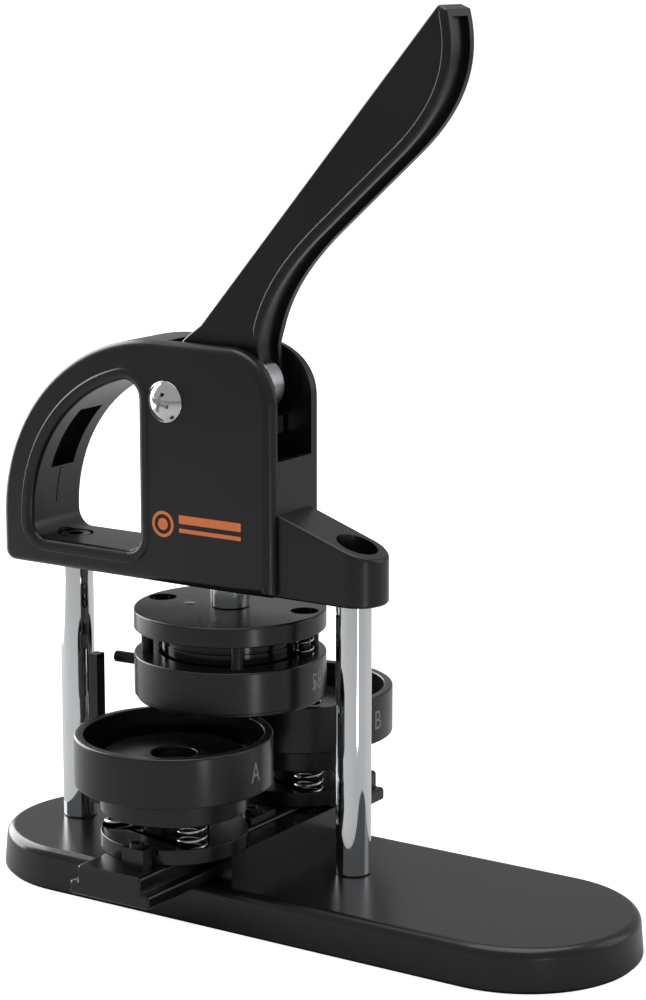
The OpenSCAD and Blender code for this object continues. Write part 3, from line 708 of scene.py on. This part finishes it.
def ribTree():
    # pairs of upright plates that lean one way and then the other, repeated along X
    tree = bpy.data.node_groups.new("zigzagRibs", "GeometryNodeTree")
    sockets = {}
    for name, kind in (("Count", "Int"), ("Pitch", "Float"), ("Depth", "Float"), ("Thickness", "Float"),
                       ("Width", "Float"), ("Finish", "Material")):
        sockets[name] = tree.interface.new_socket(name, in_out="INPUT", socket_type=f"NodeSocket{kind}")
    tree.interface.new_socket("Geometry", in_out="OUTPUT", socket_type="NodeSocketGeometry")
    given = addNode(tree, "NodeGroupInput").outputs
    half = addNode(tree, "ShaderNodeMath", {0: given["Pitch"], 1: 0.5}, operation="MULTIPLY")
    lean = addNode(tree, "ShaderNodeMath", {0: given["Width"], 1: half.outputs[0]}, operation="ARCTAN2")
    slant = addNode(tree, "ShaderNodeCombineXYZ", {"X": given["Width"], "Y": half.outputs[0]})
    length = addNode(tree, "ShaderNodeVectorMath", {0: slant.outputs[0]}, operation="LENGTH")
    size = addNode(tree, "ShaderNodeCombineXYZ", {
        "X": length.outputs["Value"], "Y": given["Thickness"], "Z": given["Depth"]})
    plate = addNode(tree, "GeometryNodeMeshCube", {"Size": size.outputs[0]})
    down = addNode(tree, "ShaderNodeMath", {0: given["Depth"], 1: -0.5}, operation="MULTIPLY")
    legs = []
    for side, share in ((1, 0.25), (-1, 0.75)):
        spin = addNode(tree, "ShaderNodeMath", {0: lean.outputs[0], 1: side}, operation="MULTIPLY")
        turn = addNode(tree, "ShaderNodeCombineXYZ", {"Z": spin.outputs[0]})
        across = addNode(tree, "ShaderNodeMath", {0: given["Pitch"], 1: share}, operation="MULTIPLY")
        spot = addNode(tree, "ShaderNodeCombineXYZ", {"X": across.outputs[0], "Z": down.outputs[0]})
        legs.append(addNode(tree, "GeometryNodeTransform", {
            "Geometry": plate.outputs[0], "Translation": spot.outputs[0], "Rotation": turn.outputs[0]}))
    pair = addNode(tree, "GeometryNodeJoinGeometry")
    for leg in legs:
        tree.links.new(leg.outputs[0], pair.inputs[0])
    step = addNode(tree, "ShaderNodeCombineXYZ", {"X": given["Pitch"]})
    line = addNode(tree, "GeometryNodeMeshLine", {"Count": given["Count"], "Offset": step.outputs[0]})
    placed = addNode(tree, "GeometryNodeInstanceOnPoints", {
        "Points": line.outputs[0], "Instance": pair.outputs[0]})
    real = addNode(tree, "GeometryNodeRealizeInstances", {"Geometry": placed.outputs[0]})
    painted = addNode(tree, "GeometryNodeSetMaterial", {
        "Geometry": real.outputs[0], "Material": given["Finish"]})
    addNode(tree, "NodeGroupOutput", {"Geometry": painted.outputs[0]})
    return tree, sockets


def grow(name, tree, sockets, values, start=None):
    # runs a node tree on a mesh and keeps the result as a plain mesh
    obj = objectOf(start or bpy.data.meshes.new(name), name)
    modifier = obj.modifiers.new("grow", "NODES")
    modifier.node_group = tree
    for key, value in values.items():
        modifier[sockets[key].identifier] = value
    applyModifiers(obj)
    return obj


def makeLever():
    s = leverSettings
    low, high = nodeBox("lever_arm")
    half = high.y
    pivotAt, rollerAt = middleOf("lever_bush"), middleOf("roller")
    pivot, roller = (pivotAt.x, pivotAt.z), (rollerAt.x, rollerAt.z)
    clockwise, beaded = leverOutline(s, pivot, roller)
    outline = clockwise[::-1]
    plain = len(outline) - beaded
    edge, bead, width = s["edgeRound"], s["bead"], s["beadWidth"]

    def rim(i):
        share = min(max((i - plain) / 2, 0), 1)
        rises = quarterRound(edge, half + bead * share, 4)
        return rises + [(edge + width * share, half + bead * share),
                        (edge + (width + 0.5) * share, half + bead * share * 0.2),
                        (edge + (width + 0.9) * share, half)]

    arm = slab("leverMoulding", [acrossY(outline, rim)])
    inner = half - s["wall"]
    thick = s["spineThickness"]
    far = alongSpine(s, s["spineLength"] - s["wall"], thick)
    # the channel's tool runs past the lever's own outline on the open side
    channel = [alongSpine(s, 0, thick), (0, roller[1]), (0, s["mouth"]), (roller[0], s["mouthLow"]),
               (s["mouthFar"], s["mouth"]), (far[0] + s["tipClear"], far[1]), far]
    cut(arm, slab("channelTool", [acrossY(channel, lambda i: [(0, inner)])]))
    radius = s["rollerRoom"]
    room = [(0, -inner, 0), (radius, -inner, 0), (radius, inner, 0), (0, inner, 0)]
    cut(arm, lathe("rollerRoom", room, rollerAt, "Y", 64))
    reach = s["toolHalf"]
    for place, radius in ((pivotAt, s["bushBore"]), (rollerAt, s["pinBore"])):
        bore = [(0, -reach, 0), (radius, -reach, 0), (radius, reach, 0), (0, reach, 0)]
        cut(arm, lathe("boreTool", bore, (place.x, 0, place.z), "Y", 48))
    finishPiece(arm, blackAbs, ["lever_arm"], 0.35)

    tree, sockets = ribTree()
    ribs = grow("leverRibs", tree, sockets, {
        "Count": s["ribCount"], "Pitch": s["ribPitch"] * mm, "Depth": s["ribDepth"] * mm,
        "Thickness": s["ribThickness"] * mm, "Width": (2 * inner + 0.4) * mm, "Finish": blackAbs})
    start = alongSpine(s, s["ribStart"], thick - 1)
    turn = Matrix.Rotation(-math.radians(s["spineTurn"]), 4, "Y")
    ribs.data.transform(Matrix.Translation(Vector((start[0], 0, start[1])) * mm) @ turn)
    within = acrossY(outline, lambda i: [(s["ribInset"], inner + 0.2)])
    cut(ribs, slab("ribLimit", [within]), "INTERSECT", True)
    finishPiece(ribs, blackAbs, [], 0.25, body="lever")
    softened("lever_bush", "leverBush", bronze, 0.2)


makeLever()
print("lever made")


screwSettings = {
    "shank": 5, "domeSteps": 10, "rim": 0.4, "rimStep": 0.2, "endChamfer": 0.6, "crossTurns": (20, 110),
    "wingWide": 4.3, "wingNarrow": 2, "wingHalf": 0.8, "wingDepth": 2.8}


def makePivotScrew():
    s = screwSettings
    low, high = nodeBox("pivot_screw")
    centre = middleOf("pivot_screw")
    face = nodeBox("head_body")[0].y
    radius = (high.x - low.x) / 2
    rise = face - low.y
    dome = (radius * radius + rise * rise) / (2 * rise)
    shank, chamfer = s["shank"], s["endChamfer"]
    limit = math.asin(radius / dome)
    turns = [limit * k / s["domeSteps"] for k in range(s["domeSteps"])]
    section = [(dome * math.sin(t), face - rise + dome * (1 - math.cos(t)), 0) for t in turns]
    section += [(radius, face - s["rim"], 0.3), (radius - s["rimStep"], face, 0), (shank, face, 0),
                (shank, high.y - chamfer, 0), (shank - chamfer, high.y, 0), (0, high.y, 0)]
    screw = lathe("pivotScrew", section, (centre.x, 0, centre.z), "Y", 96)
    wide, narrow, half = s["wingWide"], s["wingNarrow"], s["wingHalf"]
    shoulder, floor = low.y + half, low.y + s["wingDepth"]
    wing = [(-wide, low.y - 1), (wide, low.y - 1), (wide, shoulder), (narrow, floor), (-narrow, floor),
            (-wide, shoulder)]
    for turn in s["crossTurns"]:
        rings = [[(x, y, z) for x, y in wing] for z in (-half, half)]
        tool = slab("crossTool", [rings])
        spin = Matrix.Rotation(math.radians(turn), 4, "Y")
        tool.data.transform(Matrix.Translation(Vector((centre.x, 0, centre.z)) * mm) @ spin)
        cut(screw, tool)
    finishPiece(screw, nickel, ["pivot_screw"], 0.15)


rollerSettings = {"bore": 4.05, "hub": 6.2, "tread": 9.2, "recess": 0.7}


def makeWorks():
    makePivotScrew()
    softened("pivot_nut", "pivotNut", nickel, 0.5)
    softened("pivot_washers", "pivotWashers", zinc, 0.2)
    softened("roller_clips", "rollerClips", oxide, 0.15)
    softened("roller_pin", "rollerPin", groundAcross, 0.3)
    low, high = nodeBox("roller")
    centre = middleOf("roller")
    radius = (high.x - low.x) / 2
    side = high.y
    bore, hub, tread, recess = rollerSettings.values()
    floor = side - recess
    section = [(bore, -side, 0.3), (hub, -side, 0.2), (hub, -floor, 0.2), (tread, -floor, 0.2),
               (tread, -side, 0.2), (radius, -side, 0.8), (radius, side, 0.8), (tread, side, 0.2),
               (tread, floor, 0.2), (hub, floor, 0.2), (hub, side, 0.2), (bore, side, 0.3)]
    finishPiece(lathe("leverRoller", section, (centre.x, 0, centre.z), "Y"), groundAcross, ["roller"])
    low, high = nodeBox("ram_rod")
    section = [(0, low.z, 0), (high.x, low.z, 0.5), (high.x, high.z, 0.5), (0, high.z, 0)]
    finishPiece(lathe("ramRod", section), groundRound, ["ram_rod"])
    softened("ram_head", "ramHead", groundRound, 1.0)


makeWorks()
print("ram and roller made")


def coilTree():
    tree = bpy.data.node_groups.new("coilSprings", "GeometryNodeTree")
    sockets = {}
    tree.interface.new_socket("Geometry", in_out="INPUT", socket_type="NodeSocketGeometry")
    for name, kind in (("Coil Radius", "Float"), ("Wire Radius", "Float"), ("Height", "Float"),
                       ("Turns", "Float"), ("Closed Ends", "Float"), ("Finish", "Material")):
        sockets[name] = tree.interface.new_socket(name, in_out="INPUT", socket_type=f"NodeSocket{kind}")
    tree.interface.new_socket("Geometry", in_out="OUTPUT", socket_type="NodeSocketGeometry")
    given = addNode(tree, "NodeGroupInput").outputs
    line = addNode(tree, "GeometryNodeCurvePrimitiveLine", {"End": (0, 0, 0.01)})
    fine = addNode(tree, "GeometryNodeResampleCurve", {"Curve": line.outputs[0], "Count": 220})
    share = addNode(tree, "GeometryNodeSplineParameter").outputs["Factor"]
    turned = addNode(tree, "ShaderNodeMath", {0: share, 1: given["Turns"]}, operation="MULTIPLY")
    angle = addNode(tree, "ShaderNodeMath", {0: turned.outputs[0], 1: 2 * math.pi}, operation="MULTIPLY")
    flat = []
    for kind in ("COSINE", "SINE"):
        part = addNode(tree, "ShaderNodeMath", {0: angle.outputs[0]}, operation=kind)
        flat.append(addNode(tree, "ShaderNodeMath", {0: part.outputs[0], 1: given["Coil Radius"]},
                            operation="MULTIPLY"))
    eased = addNode(tree, "ShaderNodeMapRange", {"Value": share}, interpolation_type="SMOOTHSTEP")
    rise = addNode(tree, "ShaderNodeMix", {0: given["Closed Ends"], 2: share, 3: eased.outputs[0]})
    tall = addNode(tree, "ShaderNodeMath", {0: rise.outputs[0], 1: given["Height"]}, operation="MULTIPLY")
    spot = addNode(tree, "ShaderNodeCombineXYZ", {
        "X": flat[0].outputs[0], "Y": flat[1].outputs[0], "Z": tall.outputs[0]})
    helix = addNode(tree, "GeometryNodeSetPosition", {
        "Geometry": fine.outputs[0], "Position": spot.outputs[0]})
    ring = addNode(tree, "GeometryNodeCurvePrimitiveCircle", {
        "Resolution": 12, "Radius": given["Wire Radius"]})
    tube = addNode(tree, "GeometryNodeCurveToMesh", {
        "Curve": helix.outputs[0], "Profile Curve": ring.outputs[0], "Fill Caps": True})
    smooth = addNode(tree, "GeometryNodeSetShadeSmooth", {"Geometry": tube.outputs[0]})
    placed = addNode(tree, "GeometryNodeInstanceOnPoints", {
        "Points": given["Geometry"], "Instance": smooth.outputs[0]})
    real = addNode(tree, "GeometryNodeRealizeInstances", {"Geometry": placed.outputs[0]})
    painted = addNode(tree, "GeometryNodeSetMaterial", {
        "Geometry": real.outputs[0], "Material": given["Finish"]})
    addNode(tree, "NodeGroupOutput", {"Geometry": painted.outputs[0]})
    return tree, sockets


coils, coilSockets = coilTree()
springSettings = {
    "ram_spring": {"coil": 9.9, "wire": 0.9, "turns": 6, "ring": 0, "angles": (0,), "centre": (0, 0)},
    "hanger_springs": {"coil": 3.5, "wire": 0.4, "turns": 4, "ring": 32, "angles": (16, 186),
                       "centre": (0, 0)},
    "die_a_springs": {"coil": 5.5, "wire": 0.7, "turns": 5.4, "ring": 22.8, "angles": (-36, 84, 204),
                      "centre": dieA},
    "die_b_springs": {"coil": 5.5, "wire": 0.7, "turns": 5.4, "ring": 22.8, "angles": (-46, 74, 194),
                      "centre": dieB}}


def makeSprings(node, name):
    s = springSettings[node]
    low, high = nodeBox(node)
    spots = around(s["angles"], s["ring"], s["centre"])
    seats = bpy.data.meshes.new(name)
    seats.from_pydata([Vector((x, y, low.z + s["wire"])) * mm for x, y in spots], [], [])
    tall = high.z - low.z
    springs = grow(name, coils, coilSockets, {
        "Coil Radius": s["coil"] * mm, "Wire Radius": s["wire"] * mm, "Turns": float(s["turns"]),
        "Height": (tall - 2 * s["wire"]) * mm, "Closed Ends": 0.6, "Finish": wire}, seats)
    finishPiece(springs, wire, [node], sharp=60)
    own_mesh(springs)


makeSprings("ram_spring", "ramSpring")
makeSprings("hanger_springs", "hangerSprings")
makeSprings("die_a_springs", "dieSpringsA")
makeSprings("die_b_springs", "dieSpringsB")
print("springs made")


upperSettings = {
    "headBore": 5.8, "headSeat": 116.8, "shankBore": 2.7, "springBore": 4.3, "springSeat": 115.3,
    "plateLow": 110, "plateHigh": 130, "bore": 29.2, "pocket": 31, "roof": 97.2,
    "postAngles": (40, 130, 220, 310), "postRing": 34, "postBore": 2.6, "postDepth": 13.6,
    "threadBore": 2.45, "threadDepth": 4.2, "toolClear": 5,
    "slotFrom": 168.7, "slotTo": 202.9, "slotInner": 27, "slotOuter": 44, "slotHalf": 2.8,
    "coreBore": 4.05, "coreCounter": 7, "coreCounterDepth": 8.5, "grooveLow": 106.5, "grooveHigh": 107.3,
    "grooveDepth": 0.6}


def makeUpperDie():
    s = upperSettings
    springs = springSettings["hanger_springs"]
    hangers = around(springs["angles"], springs["ring"])
    low, high = nodeBox("upper_plate")
    plate = lathe("upperPlate", [(0, low.z, 0), (high.x, low.z, 0.5), (high.x, high.z, 0.9), (0, high.z, 0)])
    drill(plate, hangers, s["headBore"], s["headSeat"], s["plateHigh"])
    drill(plate, hangers, s["shankBore"], s["plateLow"], s["plateHigh"])
    drill(plate, hangers, s["springBore"], s["plateLow"], s["springSeat"])
    finishPiece(plate, turnedTop, ["upper_plate"], 0.25)
    low, high = nodeBox("upper_ring")
    bore, pocket, roof = s["bore"], s["pocket"], s["roof"]
    ring = lathe("upperRing", [(pocket, low.z, 0.3), (high.x, low.z, 0.4), (high.x, high.z, 0.8),
                               (bore, high.z, 0.5), (bore, roof, 0.2), (pocket, roof, 0.2)])
    posts = around(s["postAngles"], s["postRing"])
    drill(ring, posts, s["postBore"], high.z - s["postDepth"], high.z + s["toolClear"])
    drill(ring, hangers, s["threadBore"], high.z - s["threadDepth"], high.z + s["toolClear"])
    edge = arc((0, 0), s["slotOuter"], s["slotFrom"], s["slotTo"], 8)
    edge += arc((0, 0), s["slotInner"], s["slotTo"], s["slotFrom"], 8)
    pinZ = middleOf("shift_pin").z
    levels = (pinZ - s["slotHalf"], pinZ + s["slotHalf"])
    cut(ring, slab("slotTool", [[[(x, y, z) for x, y in edge] for z in levels]]))
    finishPiece(ring, turnedTop, ["upper_ring"], 0.2)
    low, high = nodeBox("upper_ring_lip")
    section = [(bore, low.z, 0.4), (high.x, low.z, 0.9), (high.x, high.z, 0), (bore, high.z, 0)]
    finishPiece(lathe("upperRingLip", section), turnedTop, ["upper_ring_lip"])
    low, high = nodeBox("upper_core")
    bore, counter, floor = s["coreBore"], s["coreCounter"], low.z + s["coreCounterDepth"]
    grooveLow, grooveHigh, waist = s["grooveLow"], s["grooveHigh"], high.x - s["grooveDepth"]
    core = lathe("upperCore", [
        (bore, floor, 0), (counter, floor, 0), (counter, low.z, 0.4), (high.x, low.z, 0.6),
        (high.x, grooveLow, 0.2), (waist, grooveLow + 0.1, 0.1), (waist, grooveHigh - 0.1, 0.1),
        (high.x, grooveHigh, 0.2), (high.x, high.z, 0.3), (bore, high.z, 0)])
    finishPiece(core, coreTop, ["upper_core"])
    softened("upper_core_screw", "upperCoreScrew", oxide, 0.4)
    softened("upper_posts", "guidePosts", oxide, 0.4)
    softened("plate_dowel", "plateDowel", groundRound, 0.4)
    softened("hanger_screws", "hangerScrews", oxide, 0.3)
    softened("shift_ring", "shiftRing", coreTop, 0.3)
    softened("shift_pin", "shiftPin", oxide, 0.5)


makeUpperDie()
print("upper die made")


dieSettings = {
    "stem": 14.3, "waist": 29.8, "step": 56.3, "mouth": 36.2, "ledge": 63, "well": 29.3, "wellFloor": 57.9,
    "springBore": 6.6, "springRoof": 51.2, "toolClear": 5, "coreStem": 14, "coreRadius": 29,
    "coreStep": 58, "coreBore": 4.05, "screwSeat": 6.8, "screwDepth": 12, "centreHole": 9, "centreDepth": 5}


def makeLowerDie(letter, centre, ringFinish, coreFinish):
    s = dieSettings
    name = letter.upper()
    node = f"die_{letter}_"
    low, high = nodeBox(node + "ring")
    outer = (high.x - low.x) / 2
    stem, waist, step, mouth = s["stem"], s["waist"], s["step"], s["mouth"]
    ledge, well, floor = s["ledge"], s["well"], s["wellFloor"]
    section = [(stem, low.z, 0.3), (waist, low.z, 0.5), (waist, step, 0.3), (outer, step, 0.6),
               (outer, high.z, 0.9), (mouth, high.z, 0.7), (mouth, ledge, 1.2), (well, ledge, 0.3),
               (well, floor, 0.2), (stem, floor, 0.2)]
    ring = lathe("dieRing" + name, section, (centre.x, centre.y, 0), steps=160)
    springs = springSettings[node + "springs"]
    spots = around(springs["angles"], springs["ring"], centre)
    drill(ring, spots, s["springBore"], low.z - s["toolClear"], s["springRoof"])
    finishPiece(ring, ringFinish, [node + "ring"], 0.15)
    low, high = nodeBox(node + "core")
    stem, radius, step, bore = s["coreStem"], s["coreRadius"], s["coreStep"], s["coreBore"]
    hole, seat = s["centreHole"], s["screwSeat"]
    shelf, floor = high.z - s["centreDepth"], high.z - s["screwDepth"]
    section = [(bore, low.z, 0), (stem, low.z, 0), (stem, step, 0.3), (radius, step, 0.3),
               (radius, high.z, 0.9), (hole, high.z, 0.7), (hole, shelf, 0.5), (seat, shelf, 0.3),
               (seat, floor, 0), (bore, floor, 0)]
    core = lathe("dieCore" + name, section, (centre.x, centre.y, 0))
    finishPiece(core, coreFinish, [node + "core"])
    softened(node + "flange", "dieFlange" + name, ringFinish, 0.4)
    softened(node + "screw", "dieScrew" + name, zinc, 0.4)
    softened(node + "clip", "dieClip" + name, bar, 0.5)
    softened(node + "clip_screw", "dieClipScrew" + name, oxide, 0.3)


makeLowerDie("a", dieA, turnedA, coreA)
makeLowerDie("b", dieB, turnedB, coreB)


slideSettings = {
    "narrow": 15.4, "step": 23.3, "chamfer": 0.7, "grooveHalf": 3.2, "grooveLow": 17, "grooveRoof": 21.8}


def makeSlide():
    # a bar with a flange along each side, its ends chamfered
    s = slideSettings
    low, high = nodeBox("carriage_slide")
    wide, narrow, step, chamfer = high.x, s["narrow"], s["step"], s["chamfer"]
    half = [(wide, low.z, 1.2), (wide, step, 1.4), (narrow, step, 0.3), (narrow, high.z, 1.4)]
    outline = roundCorners(half + [(-x, z, radius) for x, z, radius in reversed(half)], 4)
    normals = inward(outline)
    rings = []
    for inset, y in ((chamfer, low.y), (0, low.y + chamfer), (0, high.y - chamfer), (chamfer, high.y)):
        rings.append([(p[0] + n.x * inset, y, p[1] + n.y * inset) for p, n in zip(outline, normals)])
    slide = slab("carriageSlide", [rings])
    half, floor, roof = s["grooveHalf"], s["grooveLow"], s["grooveRoof"]
    corners = ((-half, floor), (half, floor), (half, roof), (-half, roof))
    groove = [[(x, y, z) for x, z in corners] for y in (dieA.y - half, dieB.y + half)]
    cut(slide, slab("grooveTool", [groove]))
    finishPiece(slide, bar, ["carriage_slide"])


makeSlide()
softened("trip_bracket", "tripBracket", bar, 0.5)
softened("trip_screws", "tripScrews", oxide, 0.25)
print("dies and carriage made")


capShare = 0.7  # height of a capital as a share of the type size
bendStep = 0.6  # width of the strips that letters are cut into, so they can bend


def textMesh(words, tall, squeeze):
    # flat letters in X and Z millimetres, centred, cut fine enough to bend
    curve = bpy.data.curves.new(words, "FONT")
    curve.body = words
    curve.size = tall / capShare
    curve.resolution_u = 6
    obj = bpy.data.objects.new(words, curve)
    bpy.context.scene.collection.objects.link(obj)
    mesh = bpy.data.meshes.new_from_object(obj.evaluated_get(bpy.context.evaluated_depsgraph_get()))
    bpy.data.objects.remove(obj)
    bm = bmesh.new()
    bm.from_mesh(mesh)
    bmesh.ops.dissolve_limit(bm, angle_limit=0.01, verts=bm.verts, edges=bm.edges)
    xs = [v.co.x for v in bm.verts]
    ys = [v.co.y for v in bm.verts]
    for v in bm.verts:
        v.co = Vector(((v.co.x - (min(xs) + max(xs)) / 2) * squeeze, 0, v.co.y - (min(ys) + max(ys)) / 2))
    reach = (max(xs) - min(xs)) * squeeze / 2
    x = -reach + bendStep
    while x < reach:
        bmesh.ops.bisect_plane(bm, geom=bm.verts[:] + bm.edges[:] + bm.faces[:], plane_co=(x, 0, 0),
                               plane_no=(1, 0, 0), dist=1e-4)
        x += bendStep
    return bm


def etch(name, words, tall, squeeze, centre, radius, turn, z, body):
    # letters laid round a turned wall, from a hair inside it to a hair proud of it
    sunk, proud = 0.03, 0.03
    bm = textMesh(words, tall, squeeze)
    made = bmesh.ops.extrude_face_region(bm, geom=bm.faces[:])
    for v in [g for g in made["geom"] if isinstance(g, bmesh.types.BMVert)]:
        v.co.y = -sunk - proud
    for v in bm.verts:
        bend = math.radians(turn) + v.co.x / radius
        out = radius - sunk - v.co.y
        v.co = Vector((centre[0] + out * math.cos(bend), centre[1] + out * math.sin(bend), z + v.co.z)) * mm
    finishPiece(fromBmesh(bm, name), etched, [], body=body)


etch("letterA", "A", 8.2, 0.72, dieA, 40, 0, 66.2, "die_a_ring")
etch("letterB", "B", 8.2, 0.8, dieB, 40, 0, 66.2, "die_b_ring")
etch("sizeMark", "58", 7.2, 0.85, (0, 0), 39.5, 8, 93.3, "upper_ring")

markSettings = {
    "left": -26.5, "right": 17.5, "middle": 155, "ringOuter": 5.4, "ringInner": 4.1, "disc": 2.5,
    "bars": ((1.1, 4.6), (-2.6, -0.9)), "barStart": 13.5, "proud": 0.05, "sunk": 0.2}


def makeFrontMark():
    # a plain badge sign with two bars beside it, printed on the front face of the head
    s = markSettings
    face = nodeBox("head_body")[0].y
    centre = (s["left"] + s["ringOuter"], s["middle"])
    outlines = [arc(centre, s[size], 0, 354, 59) for size in ("ringOuter", "ringInner", "disc")]
    for low, high in s["bars"]:
        low, high, start = s["middle"] + low, s["middle"] + high, s["left"] + s["barStart"]
        outlines.append([(start, low), (s["right"], low), (s["right"], high), (start, high)])
    levels = (face - s["proud"], face + s["sunk"])
    loops = [[[(x, y, z) for x, z in outline] for y in levels] for outline in outlines]
    finishPiece(slab("frontMark", loops), ink, [], body=frame["nodes"]["head_body"]["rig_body"])


makeFrontMark()
print("marks made")


stageSettings = {
    "floorGlow": 0.9, "floorGrey": 0.47, "sky": 0.42,
    "panels": {
        "overhead": ((0.0, 0.1, 1.5), (0, 0), (1.3, 1.3), 2.4),
        "leftWall": ((-1.3, 0.40, 0.62), (74, -73), (1.5, 1.3), 5.5),
        "rightWall": ((1.1, 0.9, 0.7), (70, 130), (0.9, 1.2), 0.9),
        "floorStrip": ((0.62, -0.32, 0.002), (180, -27.5), (0.8, 0.045), 5.0),
        "floorLeft": ((-0.74, 0.0, 0.002), (180, 0), (0.6, 0.8), 1.2)}}


def makeStage():
    mesh = bpy.data.meshes.new("floor")
    bm = bmesh.new()
    bmesh.ops.create_grid(bm, x_segments=1, y_segments=1, size=30)
    bm.to_mesh(mesh)
    bm.free()
    floor = objectOf(mesh, "floor")
    # seen directly the floor is a white sweep; as a reflection it stays a dim studio floor
    material, tree, shader = startMaterial("paleFloor", Roughness=0.9)
    grey = stageSettings["floorGrey"]
    shader.inputs["Base Color"].default_value = (grey, grey, grey, 1)
    shader.inputs["Specular IOR Level"].default_value = 0.1
    shader.inputs["Emission Color"].default_value = (1, 1, 1, 1)
    seen = addNode(tree, "ShaderNodeLightPath").outputs["Is Camera Ray"]
    glow = addNode(tree, "ShaderNodeMath", {0: seen, 1: stageSettings["floorGlow"]}, operation="MULTIPLY")
    tree.links.new(glow.outputs[0], shader.inputs["Emission Strength"])
    mesh.materials.append(material)


def softbox(name, place, turn, size, brightness):
    # a lit panel, turned by (tilt, heading) in degrees; its power follows from how bright its face looks
    light = bpy.data.lights.new(name, "AREA")
    light.shape = "RECTANGLE"
    light.size, light.size_y = size
    light.energy = brightness * math.pi * size[0] * size[1]
    obj = bpy.data.objects.new(name, light)
    bpy.context.scene.collection.objects.link(obj)
    obj.location = place
    obj.rotation_euler = (math.radians(turn[0]), 0, math.radians(turn[1]))


makeStage()
for name, (place, turn, size, brightness) in stageSettings["panels"].items():
    softbox(name, place, turn, size, brightness)

world = bpy.data.worlds.new("studio")
world.use_nodes = True
world.node_tree.nodes["Background"].inputs["Color"].default_value = (1, 1, 1, 1)
world.node_tree.nodes["Background"].inputs["Strength"].default_value = stageSettings["sky"]
bpy.context.scene.world = world

cameraSettings = {"lens": 100.8, "place": (0.64604, -0.90864, 0.39028), "tilt": -11.46, "turn": 33.46}
camera = bpy.data.cameras.new("camera")
camera.sensor_width = 36
camera.lens = cameraSettings["lens"]
cameraObject = bpy.data.objects.new("camera", camera)
bpy.context.scene.collection.objects.link(cameraObject)
cameraObject.location = cameraSettings["place"]
tilt, turn = math.radians(90 + cameraSettings["tilt"]), math.radians(cameraSettings["turn"])
cameraObject.rotation_euler = (tilt, 0, turn)
bpy.context.scene.camera = cameraObject
bpy.context.scene.view_settings.view_transform = "Standard"
